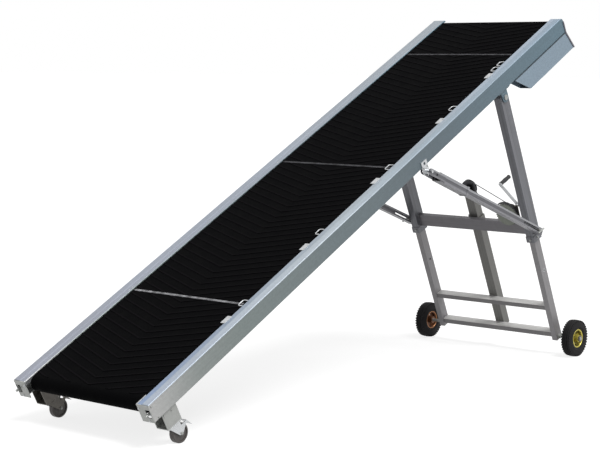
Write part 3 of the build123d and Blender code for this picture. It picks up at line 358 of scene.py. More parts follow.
# %% Camera
CAMERA_AT = Vector((-7.0957, -5.8075, 1.7647))
AZIMUTH, ELEVATION, ROLL = (math.radians(v) for v in (-49.7224, 5.3857, 0.5215))
SENSOR_MM, LENS_MM = 36.0, 98.508
flat = math.cos(ELEVATION)
back = Vector((math.sin(AZIMUTH) * flat, -math.cos(AZIMUTH) * flat, math.sin(ELEVATION)))
level = Vector((math.cos(AZIMUTH), math.sin(AZIMUTH), 0))
upright = back.cross(level)
right = level * math.cos(ROLL) + upright * math.sin(ROLL)
up = upright * math.cos(ROLL) - level * math.sin(ROLL)
camera_data = bpy.data.cameras.new("camera")
camera_data.sensor_fit = "HORIZONTAL"
camera_data.sensor_width = SENSOR_MM
camera_data.lens = LENS_MM
camera = bpy.data.objects.new("camera", camera_data)
camera.matrix_world = Matrix.Translation(CAMERA_AT) @ Matrix((right, up, back)).transposed().to_4x4()
scene.collection.objects.link(camera)
scene.camera = camera
print("camera", [round(v, 3) for v in camera.location])

# %% [markdown]
# A pale floor, an even sky and two soft suns make a plain studio. Suns light the whole floor alike, so the
# background stays even. The white that the camera and the reflections see comes from the floor's own glow
# and from the sky's strength for those rays, and not from more light on the machine.

# %% Floor
FLOOR_HALF = 400.0      # metres, so wide that the camera sees no edge of it
GLOW = 0.8


def watched_rays(tree, kinds):
    """1 for a ray of one of these kinds, and 0 for the rays that light the machine."""
    path = add(tree, "ShaderNodeLightPath")
    watched = path.outputs[kinds[0]]
    for kind in kinds[1:]:
        most = add(tree, "ShaderNodeMath", {0: watched, 1: path.outputs[kind]}, operation="MAXIMUM")
        watched = most.outputs[0]
    return watched


floor_mesh = bpy.data.meshes.new("floor")
corners = [(x * FLOOR_HALF, y * FLOOR_HALF, 0) for x, y in ((-1, -1), (1, -1), (1, 1), (-1, 1))]
floor_mesh.from_pydata(corners, [], [(0, 1, 2, 3)])
floor = bpy.data.objects.new("floor", floor_mesh)
scene.collection.objects.link(floor)
paper = bpy.data.materials.new("matt_studio_paper")
paper.use_nodes = True
tree = paper.node_tree
watched = watched_rays(tree, ("Is Camera Ray", "Is Glossy Ray"))
glow = add(tree, "ShaderNodeEmission", {"Color": linear("#ffffff"), "Strength": GLOW})
matt = add(tree, "ShaderNodeBsdfDiffuse", {"Color": linear("#a8a8a8")})
both = add(tree, "ShaderNodeAddShader", {0: glow.outputs[0], 1: matt.outputs[0]})
chosen = add(tree, "ShaderNodeMixShader", {0: watched, 1: matt.outputs[0], 2: both.outputs[0]})
tree.links.new(chosen.outputs[0], tree.nodes["Material Output"].inputs["Surface"])
floor_mesh.materials.append(paper)
print("floor is", 2 * FLOOR_HALF, "m wide")

# %% Sky and suns
SKY_LIGHT = 0.32
world = bpy.data.worlds.new("studio_sky")
scene.world = world
world.use_nodes = True
tree = world.node_tree
watched = watched_rays(tree, ("Is Camera Ray", "Is Glossy Ray", "Is Transmission Ray"))
strength = add(tree, "ShaderNodeMapRange", {"Value": watched, "To Min": SKY_LIGHT, "To Max": 1.0})
tree.links.new(strength.outputs[0], tree.nodes["Background"].inputs["Strength"])
tree.nodes["Background"].inputs["Color"].default_value = linear("#ffffff")

SUNS = [    # name, direction it comes from, softness in degrees, strength
    ("key_sun", (-0.05, -0.5, 0.86), 30.0, 2.2),
    ("fill_sun", (-0.9, 0.1, 0.45), 60.0, 0.25),
]
for name, way, softness, power in SUNS:
    lamp_data = bpy.data.lights.new(name, "SUN")
    lamp_data.energy = power
    lamp_data.angle = math.radians(softness)
    lamp = bpy.data.objects.new(name, lamp_data)
    lamp.rotation_euler = Vector(way).to_track_quat("Z", "Y").to_euler()
    scene.collection.objects.link(lamp)
scene.view_settings.view_transform = "Standard"
print("suns", [row[0] for row in SUNS])

# %% [markdown]
# Most added pieces are made from a short list of places. One function turns corners and faces into a piece
# that rides on its body, with outward normals and crisp edges, one spins a profile into a turned piece, and
# one gives an outline its thickness.

# %% Pieces from corners, turned pieces and plates
MERGE_WITHIN = 0.01 * MM
CRISP_ANGLE = math.radians(32)      # an edge that turns more than this shows as an edge


def add_piece(name, corners, faces, material, body):
    mesh = bpy.data.meshes.new(name)
    mesh.from_pydata([tuple(c) for c in corners], [], faces)
    work = bmesh.new()
    work.from_mesh(mesh)
    bmesh.ops.remove_doubles(work, verts=work.verts, dist=MERGE_WITHIN)
    bmesh.ops.recalc_face_normals(work, faces=work.faces)
    for face in work.faces:
        face.smooth = True
    for edge in work.edges:
        edge.smooth = edge.calc_face_angle(0.0) < CRISP_ANGLE
    work.to_mesh(mesh)
    work.free()
    mesh.materials.append(material)
    made = bpy.data.objects.new(name, mesh)
    scene.collection.objects.link(made)
    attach(made, body)
    return made


def facing(point, way):
    """A place whose own Z points along the given way."""
    return Matrix.Translation(point) @ Vector(way).to_track_quat("Z", "X").to_matrix().to_4x4()


def turned(name, profile, place, material, body, ring=False, steps=64):
    """Spins (height, radius) pairs, in millimetres, about its place's own Z. A ring's profile is closed."""
    count = len(profile)
    corners = []
    for i in range(steps):
        angle = 2 * math.pi * i / steps
        corners += [place @ (Vector((r * math.cos(angle), r * math.sin(angle), h)) * MM) for h, r in profile]
    faces = []
    for i in range(steps):
        for j in range(count if ring else count - 1):
            k, low, high = (j + 1) % count, i * count, (i + 1) % steps * count
            faces.append((low + j, low + k, high + k, high + j))
    return add_piece(name, corners, faces, material, body)


def plate(name, outline, lift, place, material, body):
    """A flat bar: an outline of (x, y) corners in its place's own plane, raised by lift, in millimetres."""
    count = len(outline)
    corners = [place @ (Vector((x, y, z)) * MM) for z in (0, lift) for x, y in outline]
    sides = [(i, (i + 1) % count, count + (i + 1) % count, count + i) for i in range(count)]
    faces = [tuple(range(count)), tuple(range(count, 2 * count)), *sides]
    return add_piece(name, corners, faces, material, body)


def rectangle(half_x, half_y):
    """The corners of a rectangle round its middle, in order."""
    return [(-half_x, -half_y), (half_x, -half_y), (half_x, half_y), (-half_x, half_y)]


SIDES = {"near": -1, "far": 1}
print("sides", SIDES)

# %% [markdown]
# The tyres are small solid rubber tyres. Spinning a profile gives the bead, the bulging sidewall with its
# moulded ring, and the grooves round the tread. The tyre stands for the plain solid, on the same axle. The
# rims get rolled lips, a hub boss and the axle's nut, spun in the same way.

# %% Tyres and rims
WHEEL_Y = 559.0
half_tyre = [    # out from the tyre's middle plane, radius
    (20.0, 54.2), (24.5, 56.0), (27.0, 59.5), (29.2, 66.0), (29.8, 71.0), (31.0, 72.6), (31.0, 75.6),
    (30.2, 77.2), (30.2, 86.0), (29.0, 95.0), (27.6, 100.0), (26.0, 106.0), (24.2, 110.6), (22.0, 112.8),
    (13.6, 114.4), (13.0, 110.6), (10.0, 110.6), (9.4, 114.7), (2.2, 115.0), (1.8, 111.0),
]
tyre_profile = half_tyre + [(-h, r) for h, r in reversed(half_tyre)]
lip_profile = [(20.5, 51.0), (23.4, 50.5), (25.8, 52.5), (26.4, 55.5), (25.2, 57.6), (23.2, 56.6),
               (22.0, 54.0)]
boss_profile = [(35.2, 12.0), (35.4, 20.0), (34.0, 22.6), (24.0, 23.4), (4.2, 25.5), (4.2, 12.0)]
nut_profile = [(36.1, 10.5), (36.1, 18.0), (36.8, 20.0), (44.4, 20.0), (45.5, 18.2), (45.5, 10.5)]
for side, sign in SIDES.items():
    wheel_place = facing(leg(0, sign * WHEEL_Y, AXLE_AT), (0, sign, 0))
    body, metal = f"wheel_{side}", WHEEL_METAL[side]
    tyre = turned(f"road_tyre_{side}", tyre_profile, wheel_place, tyre_rubber, body, ring=True,
                  steps=96)
    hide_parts(f"tyre_{side}")
    for face, turn in (("outer", 1), ("inner", -1)):
        lip = [(turn * h, r) for h, r in lip_profile]
        turned(f"rim_lip_{side}_{face}", lip, wheel_place, metal, body, ring=True, steps=72)
    turned(f"hub_boss_{side}", boss_profile, wheel_place, metal, body, ring=True, steps=48)
    turned(f"axle_nut_{side}", nut_profile, wheel_place, shaded_zinc, "wheel_frame",
           ring=True, steps=6)
print("tyre profile points", len(tyre_profile))

# %% [markdown]
# Whatever repeats is grown by Geometry Nodes from a few points: a tree with named sizes, instances at the
# points, and Realize Instances and Set Material at its end. The result is then kept as a plain mesh.


# %% Trees that grow repeated parts
def start_tree(name, sizes):
    tree = bpy.data.node_groups.new(name, "GeometryNodeTree")
    tree.interface.new_socket("Geometry", in_out="INPUT", socket_type="NodeSocketGeometry")
    for label, value in sizes.items():
        kind = "NodeSocketInt" if isinstance(value, int) else "NodeSocketFloat"
        tree.interface.new_socket(label, in_out="INPUT", socket_type=kind).default_value = value
    tree.interface.new_socket("Material", in_out="INPUT", socket_type="NodeSocketMaterial")
    tree.interface.new_socket("Geometry", in_out="OUTPUT", socket_type="NodeSocketGeometry")
    return tree, add(tree, "NodeGroupInput")


def end_tree(tree, sizes, geometry, smooth=False):
    whole = add(tree, "GeometryNodeRealizeInstances", {0: geometry})
    shaded = add(tree, "GeometryNodeSetShadeSmooth", {"Geometry": whole.outputs[0], "Shade Smooth": smooth})
    dressed = add(tree, "GeometryNodeSetMaterial", {"Geometry": shaded.outputs[0],
                                                    "Material": sizes.outputs["Material"]})
    add(tree, "NodeGroupOutput", {0: dressed.outputs[0]})


def grow(name, tree, points, material, body, edges=(), ways=None, sizes=None):
    """Runs a tree on some points. The result is a plain mesh that rides on its body, if it has one."""
    mesh = bpy.data.meshes.new(name)
    mesh.from_pydata([tuple(p) for p in points], list(edges), [])
    if ways:
        attribute = mesh.attributes.new("facing", "FLOAT_VECTOR", "POINT")
        attribute.data.foreach_set("vector", [c for way in ways for c in way])
    made = bpy.data.objects.new(name, mesh)
    scene.collection.objects.link(made)
    modifier = made.modifiers.new("grown", "NODES")
    modifier.node_group = tree
    for item in tree.interface.items_tree:
        if item.in_out == "INPUT" and item.name in (sizes or {}):
            modifier[item.identifier] = sizes[item.name]
        elif item.in_out == "INPUT" and item.name == "Material":
            modifier[item.identifier] = material
    depsgraph = bpy.context.evaluated_depsgraph_get()
    result = bpy.data.meshes.new_from_object(made.evaluated_get(depsgraph))
    made.modifiers.clear()
    made.data = result
    if body:
        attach(made, body)
    print(name, len(result.polygons), "faces")
    return made


print("trees so far", len(bpy.data.node_groups))

# %% [markdown]
# A hex screw is a washer, a six-sided head and a small crown. Each point carries the way that its head
# faces, and a fixed seed turns every head a little differently, as hands leave them.

# %% The hex screw tree
CROWN_BASE, CROWN_TIP, CROWN_RISE = 0.86, 0.6, 0.2      # shares of the head's radius and height
HEAD_TURN = 1.05                                        # radians, about a sixth of a turn
screw_tree, sizes = start_tree("hex_screw", {"Head Radius": 6 * MM, "Head Height": 4 * MM,
                                             "Washer Radius": 8 * MM, "Washer Thickness": 1.5 * MM,
                                             "Seed": 3})
washer = add(screw_tree, "GeometryNodeMeshCylinder", {"Vertices": 20,
                                                      "Radius": sizes.outputs["Washer Radius"],
                                                      "Depth": sizes.outputs["Washer Thickness"]})
half = add(screw_tree, "ShaderNodeMath", {0: sizes.outputs["Washer Thickness"], 1: 0.5}, operation="MULTIPLY")
lift = add(screw_tree, "ShaderNodeCombineXYZ", {"Z": half.outputs[0]})
washer = add(screw_tree, "GeometryNodeTransform", {"Geometry": washer.outputs["Mesh"],
                                                   "Translation": lift.outputs[0]})
head = add(screw_tree, "GeometryNodeMeshCylinder", {"Vertices": 6, "Radius": sizes.outputs["Head Radius"],
                                                    "Depth": sizes.outputs["Head Height"]})
half = add(screw_tree, "ShaderNodeMath", {0: sizes.outputs["Head Height"], 1: 0.5,
                                          2: sizes.outputs["Washer Thickness"]}, operation="MULTIPLY_ADD")
lift = add(screw_tree, "ShaderNodeCombineXYZ", {"Z": half.outputs[0]})
head = add(screw_tree, "GeometryNodeTransform", {"Geometry": head.outputs["Mesh"],
                                                 "Translation": lift.outputs[0]})
top = add(screw_tree, "ShaderNodeMath", {0: sizes.outputs["Head Height"],
                                         1: sizes.outputs["Washer Thickness"]}, operation="ADD")
base = add(screw_tree, "ShaderNodeMath", {0: sizes.outputs["Head Radius"], 1: CROWN_BASE},
           operation="MULTIPLY")
tip = add(screw_tree, "ShaderNodeMath", {0: sizes.outputs["Head Radius"], 1: CROWN_TIP},
          operation="MULTIPLY")
rise = add(screw_tree, "ShaderNodeMath", {0: sizes.outputs["Head Height"], 1: CROWN_RISE},
           operation="MULTIPLY")
crown = add(screw_tree, "GeometryNodeMeshCone", {"Vertices": 16, "Radius Top": tip.outputs[0],
                                                 "Radius Bottom": base.outputs[0], "Depth": rise.outputs[0]})
lift = add(screw_tree, "ShaderNodeCombineXYZ", {"Z": top.outputs[0]})
crown = add(screw_tree, "GeometryNodeTransform", {"Geometry": crown.outputs["Mesh"],
                                                  "Translation": lift.outputs[0]})
screw = add(screw_tree, "GeometryNodeJoinGeometry", {0: washer.outputs[0]})
for shape in (head, crown):
    screw_tree.links.new(shape.outputs[0], screw.inputs[0])
way = add(screw_tree, "GeometryNodeInputNamedAttribute", {"Name": "facing"}, data_type="FLOAT_VECTOR")
aligned = add(screw_tree, "FunctionNodeAlignRotationToVector", {"Vector": way.outputs[0]}, axis="Z")
chance = add(screw_tree, "FunctionNodeRandomValue", {2: 0.0, 3: HEAD_TURN, "Seed": sizes.outputs["Seed"]})
spin = add(screw_tree, "FunctionNodeAxisAngleToRotation", {"Axis": (0, 0, 1), "Angle": chance.outputs[1]})
turn = add(screw_tree, "FunctionNodeRotateRotation", {"Rotation": aligned.outputs[0],
                                                      "Rotate By": spin.outputs[0]}, rotation_space="LOCAL")
placed = add(screw_tree, "GeometryNodeInstanceOnPoints", {"Points": sizes.outputs["Geometry"],
                                                          "Instance": screw.outputs[0],
                                                          "Rotation": turn.outputs[0]})
end_tree(screw_tree, sizes, placed.outputs[0])
print("screw tree nodes", len(screw_tree.nodes))

# %% [markdown]
# Screws sit where plates are really fixed: on the end plates, the brackets, the hinges, the motor, the
# winch, the collars, the sheave and the discs of the rims. They are grouped by the body that they ride on.

# %% Places of the deck's screws
RAIL_FACE, LEG_Y, CASTER_Y = 475.0, 432.0, 427.0                # outward from the deck's middle
HINGE_S, CASTER_S, END_PLATE_S = 3250.0, 108.0, -4.0            # along the rails
MOTOR_S, MOTOR_START, MOTOR_END, MOTOR_N = 3760.0, -307.0, -67.0, -82.0
STATION_FIRST, STATION_PITCH, TAB_BEFORE, TAB_EXTRA_S = 835.0, 667.0, 145.0, 3235.0
END_SCREWS = [(468, 46), (404, 74), (446, 8)]                   # outward, up
SIDE_BOLTS = [    # outward, and the places along and up
    (RAIL_FACE, [(12, 83), (31, 10)]),
    (465, [(68, -12), (120, -16)]),
    (480, [(STRUT_S - 17, -6), (STRUT_S + 17, -6)]),
]
FLANGES = [    # along, outward, up, and half the bolts' pitch along and across
    (HINGE_S, LEG_Y, -6, 46, 28),
    (CASTER_S, CASTER_Y, -96, 37, 29),
]
end_screws, side_bolts, flange_screws = [], [], []
for sign in SIDES.values():
    end_screws += [(deck(END_PLATE_S, sign * y, n), deck_way(-1, 0, 0)) for y, n in END_SCREWS]
    for out, spots in SIDE_BOLTS:
        side_bolts += [(deck(s, sign * out, n), (0, sign, 0)) for s, n in spots]
    for s, out, n, along, across in FLANGES:
        flange_screws += [(deck(s + i * along, sign * (out + j * across), n), deck_way(0, 0, -1))
                          for i in (-1, 1) for j in (-1, 1)]
stations = [STATION_FIRST + STATION_PITCH * i for i in range(4)]
tab_places = [s - TAB_BEFORE for s in stations] + [TAB_EXTRA_S]
tab_rivets = [(deck(s + off, -403, 100), deck_way(0, 0, 1)) for s in tab_places for off in (-18, 18)]
tab_rivets += [(deck(s + off, 407, 97), deck_way(0, 0, 1)) for s in stations for off in (-12, 12)]
motor_bolts = [(deck(MOTOR_S + s, MOTOR_START, MOTOR_N + n), (0, 1, 0)) for s in (-64, 64) for n in (-54, 54)]
print("deck screws", len(end_screws + side_bolts + flange_screws + tab_rivets + motor_bolts))

# %% Places of the legs' screws
WINCH_Y, WINCH_AT, SHEAVE_AT, COLLAR_AT = -300.0, 775.0, 652.0, 940.0       # across, and down the legs
COLLAR_OUT, COLLAR_BACK = 28.0, 43.0                                        # faces from the leg's middle
leg_bolts = [(leg(91, y, CROSSBAR_AT), leg_way(1, 0, 0)) for y in (-18, 18)]
for sign in SIDES.values():
    leg_bolts += [(leg(0, sign * (LEG_Y + COLLAR_OUT), COLLAR_AT), (0, sign, 0)),
                  (leg(-COLLAR_BACK, sign * LEG_Y, COLLAR_AT), leg_way(-1, 0, 0))]
winch_bolts = [(leg(34, WINCH_Y + y, WINCH_AT + down), leg_way(1, 0, 0))
               for y in (-34, 34) for down in (59, -19)]
gear_nut = [(leg(-42, WINCH_Y, WINCH_AT), leg_way(-1, 0, 0))]
crank_nut = [(leg(98, WINCH_Y, WINCH_AT), leg_way(1, 0, 0))]
sheave_nuts = [(leg(25, 0, SHEAVE_AT), leg_way(-1, 0, 0)), (leg(85, 0, SHEAVE_AT), leg_way(1, 0, 0))]
print("leg screws", len(leg_bolts + winch_bolts + gear_nut + crank_nut + sheave_nuts))

# %% [markdown]
# Each row below is one group: where its screws are, their finish, their body, and the sizes that differ
# from the tree's own. The wheels' and the casters' screws are worked out for each side.

# %% Grow the screws
SMALL_HEAD = {"Head Radius": 4.2 * MM, "Head Height": 3 * MM, "Washer Radius": 5.2 * MM,
              "Washer Thickness": 1 * MM}
FLAT_HEAD = {"Head Radius": 4.0 * MM, "Head Height": 1.2 * MM, "Washer Radius": 5.0 * MM,
             "Washer Thickness": 0.6 * MM}
LARGE_HEAD = {"Head Radius": 12 * MM, "Head Height": 7 * MM, "Washer Radius": 17 * MM,
              "Washer Thickness": 2 * MM}
SHEAVE_HEAD = {"Head Radius": 9 * MM, "Washer Radius": 12 * MM}
SCREWS = [    # name, places, finish, body, sizes
    ("end_plate_screws", end_screws, bright_zinc, "deck", SMALL_HEAD),
    ("bracket_bolts", side_bolts, dull_zinc, "deck", SMALL_HEAD),
    ("flange_bolts", flange_screws, dull_zinc, "deck", {}),
    ("tab_rivets", tab_rivets, bright_zinc, "deck", FLAT_HEAD),
    ("motor_bolts", motor_bolts, dull_zinc, "deck", {}),
    ("leg_bolts", leg_bolts, dull_zinc, "leg_frame", {}),
    ("winch_bolts", winch_bolts, dark_zinc, "leg_frame", SMALL_HEAD),
    ("gear_nut", gear_nut, dark_zinc, "leg_frame", LARGE_HEAD),
    ("sheave_nuts", sheave_nuts, dull_zinc, "wheel_frame", SHEAVE_HEAD),
    ("crank_nut", crank_nut, dull_zinc, "crank", LARGE_HEAD),
]
DISC_FACE, DISC_BOLT_CIRCLE, DISC_BOLTS = 563.0, 37.0, 5
CASTER_TRAIL, CASTER_AXLE_N, FORK_OUT = 30.0, -170.0, 22.0
for side, sign in SIDES.items():
    turns = [math.radians(360 / DISC_BOLTS * (i + 0.5)) for i in range(DISC_BOLTS)]
    centre = leg(0, sign * DISC_FACE, AXLE_AT)
    rays = [Vector((math.cos(t), 0, math.sin(t))) for t in turns]
    spots = [(centre + ray * DISC_BOLT_CIRCLE * MM, (0, sign, 0)) for ray in rays]
    SCREWS.append((f"disc_bolts_{side}", spots, WHEEL_METAL[side], f"wheel_{side}", {}))
    nuts = [(deck(CASTER_S + CASTER_TRAIL, sign * CASTER_Y + turn * FORK_OUT, CASTER_AXLE_N), (0, turn, 0))
            for turn in (-1, 1)]
    SCREWS.append((f"caster_nuts_{side}", nuts, dull_zinc, f"caster_{side}", {}))
for name, spots, material, body, given in SCREWS:
    grow(name, screw_tree, [p for p, _ in spots], material, body, ways=[w for _, w in spots],
         sizes=given)

# %% [markdown]
# The belt is joined by rows of steel clips. Real clips are stamped plates with two rivets, closed over a
# long hinge pin. One row is a line of instances and a pin, and the rows stand at the places where the belt
# is joined.

# %% The belt clip tree
CLIP_MARGIN, RIVET_RADIUS, RIVET_RISE = 4 * MM, 1.7 * MM, 0.6 * MM
RIVET_AT, RIVET_FLATNESS = 0.3, 0.5     # share of the clip's length from its middle, and of a full ball
clip_tree, sizes = start_tree("belt_clips", {"Row Width": 776 * MM, "Clip Pitch": 12 * MM,
                                             "Clip Length": 14 * MM, "Clip Width": 8.5 * MM,
                                             "Clip Thickness": 1.4 * MM, "Pin Radius": 1.3 * MM})
count = add(clip_tree, "ShaderNodeMath", {0: sizes.outputs["Row Width"], 1: sizes.outputs["Clip Pitch"]},
            operation="DIVIDE")
first = add(clip_tree, "ShaderNodeMath", {0: sizes.outputs["Row Width"], 1: -0.5, 2: CLIP_MARGIN},
            operation="MULTIPLY_ADD")
start = add(clip_tree, "ShaderNodeCombineXYZ", {"Y": first.outputs[0]})
step = add(clip_tree, "ShaderNodeCombineXYZ", {"Y": sizes.outputs["Clip Pitch"]})
line = add(clip_tree, "GeometryNodeMeshLine", {"Count": count.outputs[0], "Start Location": start.outputs[0],
                                               "Offset": step.outputs[0]}, mode="OFFSET")
block_size = add(clip_tree, "ShaderNodeCombineXYZ", {"X": sizes.outputs["Clip Length"],
                                                     "Y": sizes.outputs["Clip Width"],
                                                     "Z": sizes.outputs["Clip Thickness"]})
stamped = add(clip_tree, "GeometryNodeMeshCube", {"Size": block_size.outputs[0]})
clip = add(clip_tree, "GeometryNodeJoinGeometry", {0: stamped.outputs["Mesh"]})
for end in (-1, 1):
    reach = add(clip_tree, "ShaderNodeMath", {0: sizes.outputs["Clip Length"], 1: RIVET_AT * end},
                operation="MULTIPLY")
    spot = add(clip_tree, "ShaderNodeCombineXYZ", {"X": reach.outputs[0], "Z": RIVET_RISE})
    rivet = add(clip_tree, "GeometryNodeMeshUVSphere", {"Segments": 8, "Rings": 4, "Radius": RIVET_RADIUS})
    moved = add(clip_tree, "GeometryNodeTransform", {"Geometry": rivet.outputs["Mesh"],
                                                     "Translation": spot.outputs[0],
                                                     "Scale": (1, 1, RIVET_FLATNESS)})
    clip_tree.links.new(moved.outputs[0], clip.inputs[0])
clips = add(clip_tree, "GeometryNodeInstanceOnPoints", {"Points": line.outputs[0],
                                                        "Instance": clip.outputs[0]})
pin = add(clip_tree, "GeometryNodeMeshCylinder", {"Vertices": 8, "Radius": sizes.outputs["Pin Radius"],
                                                  "Depth": sizes.outputs["Row Width"]})
laid = add(clip_tree, "GeometryNodeTransform", {"Geometry": pin.outputs["Mesh"],
                                                "Rotation": (math.pi / 2, 0, 0)})
row = add(clip_tree, "GeometryNodeJoinGeometry", {0: clips.outputs[0]})
clip_tree.links.new(laid.outputs[0], row.inputs[0])
way = add(clip_tree, "GeometryNodeInputNamedAttribute", {"Name": "facing"}, data_type="FLOAT_VECTOR")
aligned = add(clip_tree, "FunctionNodeAlignRotationToVector", {"Vector": way.outputs[0]}, axis="Z")
placed = add(clip_tree, "GeometryNodeInstanceOnPoints", {"Points": sizes.outputs["Geometry"],
                                                         "Instance": row.outputs[0],
                                                         "Rotation": aligned.outputs[0]})
end_tree(clip_tree, sizes, placed.outputs[0])
print("clip tree nodes", len(clip_tree.nodes))

# %% [markdown]
# Six rows are spread evenly round the whole belt, from one on its upper run. Half of them lie on top and
# half underneath, where they face down.

# %% Grow the clips
BELT_TOP, BELT_UNDER, CLIP_RISE = 93.0, 5.0, 0.9        # up from the rail's foot, and out of the belt
TAIL_DRUM, HEAD_DRUM, BELT_TURN = 65.0, 3950.0, math.pi * 44.0
FIRST_ROW, ROWS, ROWS_ON_TOP = 835.0, 6, 3
belt_length = 2 * (HEAD_DRUM - TAIL_DRUM + BELT_TURN)
row_places = [FIRST_ROW + i * belt_length / ROWS for i in range(ROWS)]
top_rows = [deck(s, 0, BELT_TOP + CLIP_RISE) for s in row_places[:ROWS_ON_TOP]]
under_rows = [deck(2 * HEAD_DRUM + BELT_TURN - s, 0, BELT_UNDER - CLIP_RISE)
              for s in row_places[ROWS_ON_TOP:]]
ways = [deck_way(0, 0, 1)] * len(top_rows) + [deck_way(0, 0, -1)] * len(under_rows)
belt_clips = grow("belt_clips", clip_tree, top_rows + under_rows, clip_zinc, "deck",
                  ways=ways)
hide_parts("belt_lacing")

# %% [markdown]
# Bars are welded to the legs all round. A weld is a row of overlapping beads that follows the joint, so the
# tree turns edges into curves, divides them by the bead pitch, and sets a bead of random size on each point.

# %% The weld tree
BEAD_LEAST, BEAD_MOST = 0.8, 1.15       # shares of the bead's radius
weld_tree, sizes = start_tree("weld_bead", {"Bead Radius": 2.6 * MM, "Bead Pitch": 2.8 * MM, "Seed": 5})
curve = add(weld_tree, "GeometryNodeMeshToCurve", {0: sizes.outputs["Geometry"]})
divided = add(weld_tree, "GeometryNodeResampleCurve", {"Curve": curve.outputs[0],
                                                       "Length": sizes.outputs["Bead Pitch"]}, mode="LENGTH")
bead = add(weld_tree, "GeometryNodeMeshIcoSphere", {"Radius": sizes.outputs["Bead Radius"],
                                                    "Subdivisions": 2})
chance = add(weld_tree, "FunctionNodeRandomValue", {2: BEAD_LEAST, 3: BEAD_MOST,
                                                    "Seed": sizes.outputs["Seed"]})
placed = add(weld_tree, "GeometryNodeInstanceOnPoints", {"Points": divided.outputs[0],
                                                         "Instance": bead.outputs[0],
                                                         "Scale": chance.outputs[1]})
end_tree(weld_tree, sizes, placed.outputs[0], smooth=True)


def loop(corners):
    """A closed run of corners, as points and edges."""
    return corners, [(i, (i + 1) % len(corners)) for i in range(len(corners))]


def welds(name, loops, material, body):
    points, edges = [], []
    for corners, links in loops:
        edges += [(len(points) + a, len(points) + b) for a, b in links]
        points += corners
    return grow(name, weld_tree, points, material, body, edges=edges)


print("weld tree nodes", len(weld_tree.nodes))

# %% [markdown]
# The welds follow the outlines of the bars' ends, the edges of the centre post, and the feet of the caster
# brackets under the rails.

# %% Grow the welds
CROSSBAR_END, LOW_BAR_END = 406.5, 413.5                    # outward from the middle, at the legs
CROSSBAR_HALF, CROSSBAR_DEEP, LOW_BAR_DEEP = 38.0, 15.0, 25.0
POST_FACE, POST_HALF = 25.5, 30.0
BRACKET_HALF_LENGTH, BRACKET_HALF_WIDTH = 50, 38


def bar_ends(half_length, down, half_height, half_depth):
    """The outlines of both ends of a bar across the legs."""
    ring = rectangle(half_depth, half_height)
    return [loop([leg(b, sign * half_length, down + a) for b, a in ring]) for sign in SIDES.values()]


lower_loops = bar_ends(LOW_BAR_END, LOW_BAR_AT, LOW_BAR_HALF, LOW_BAR_DEEP)
lower_loops += bar_ends(LOW_BAR_END, AXLE_BAR_AT, AXLE_BAR_HALF, LOW_BAR_DEEP)
for down in (LOW_BAR_AT - LOW_BAR_HALF, LOW_BAR_AT + LOW_BAR_HALF, AXLE_BAR_AT - AXLE_BAR_HALF):
    lower_loops.append(([leg(POST_FACE, y, down) for y in (-POST_HALF, POST_HALF)], [(0, 1)]))
foot = rectangle(BRACKET_HALF_LENGTH, BRACKET_HALF_WIDTH)
bracket_loops = [loop([deck(CASTER_S + s, sign * (CASTER_Y + y), -0.5) for s, y in foot])
                 for sign in SIDES.values()]
upper_loops = bar_ends(CROSSBAR_END, CROSSBAR_AT, CROSSBAR_HALF, CROSSBAR_DEEP)
welds("crossbar_welds", upper_loops, upper_tube, "leg_frame")
welds("lower_welds", lower_loops, lower_tube, "wheel_frame")
welds("bracket_welds", bracket_loops, dull_zinc, "deck")

# %% [markdown]
# The winch lifts the deck with a steel wire rope, wound on its drum, led over the sheave on the centre post
# and fixed to the post's guide. The rope is taut between fixed places. Its tree sweeps a six-lobed section
# along the path and twists it with the length, which gives six strands.

# %% The wire rope tree
STRANDS, HOLLOW = 6, 0.78       # lobes of the section, and how far it dips between them
rope_tree, sizes = start_tree("wire_rope", {"Rope Radius": 3 * MM, "Lay Length": 36 * MM, "Step": 4 * MM})
curve = add(rope_tree, "GeometryNodeMeshToCurve", {0: sizes.outputs["Geometry"]})
divided = add(rope_tree, "GeometryNodeResampleCurve", {"Curve": curve.outputs[0],
                                                       "Length": sizes.outputs["Step"]}, mode="LENGTH")
travelled = add(rope_tree, "GeometryNodeSplineParameter")
turns = add(rope_tree, "ShaderNodeMath", {0: travelled.outputs["Length"], 1: sizes.outputs["Lay Length"]},
            operation="DIVIDE")
tilt = add(rope_tree, "ShaderNodeMath", {0: turns.outputs[0], 1: 2 * math.pi}, operation="MULTIPLY")
twisted = add(rope_tree, "GeometryNodeSetCurveTilt", {"Curve": divided.outputs[0], "Tilt": tilt.outputs[0]})
hollow = add(rope_tree, "ShaderNodeMath", {0: sizes.outputs["Rope Radius"], 1: HOLLOW}, operation="MULTIPLY")
lobes = add(rope_tree, "GeometryNodeCurveStar", {"Points": STRANDS, "Inner Radius": hollow.outputs[0],
                                                 "Outer Radius": sizes.outputs["Rope Radius"]})
swept = add(rope_tree, "GeometryNodeCurveToMesh", {"Curve": twisted.outputs[0],
                                                   "Profile Curve": lobes.outputs[0], "Fill Caps": True})
end_tree(rope_tree, sizes, swept.outputs[0])
print("rope tree nodes", len(rope_tree.nodes))

# %% [markdown]
# The coil and the wrap lie on circles, and the two free runs are straight and touch both circles. Each free
# run rides on no body, because one of its ends is on the upper legs and the other slides with the lower ones.

# %% Lead the rope
ROPE_ON_DRUM, ROPE_ON_SHEAVE, SHEAVE_B = 31.2, 47.3, 55.0       # radii to the rope's middle, and its plane
START_B, ROPE_PITCH, ANCHOR_AT = 20.0, 6.3, 858.0
COIL_TURNS, COIL_STEPS, WRAP_STEPS = 6.5, 24, 20
reach = Vector((-WINCH_Y, WINCH_AT - SHEAVE_AT))
slant = math.atan2(reach.y, reach.x) + math.pi / 2 + math.asin((ROPE_ON_SHEAVE - ROPE_ON_DRUM) / reach.length)


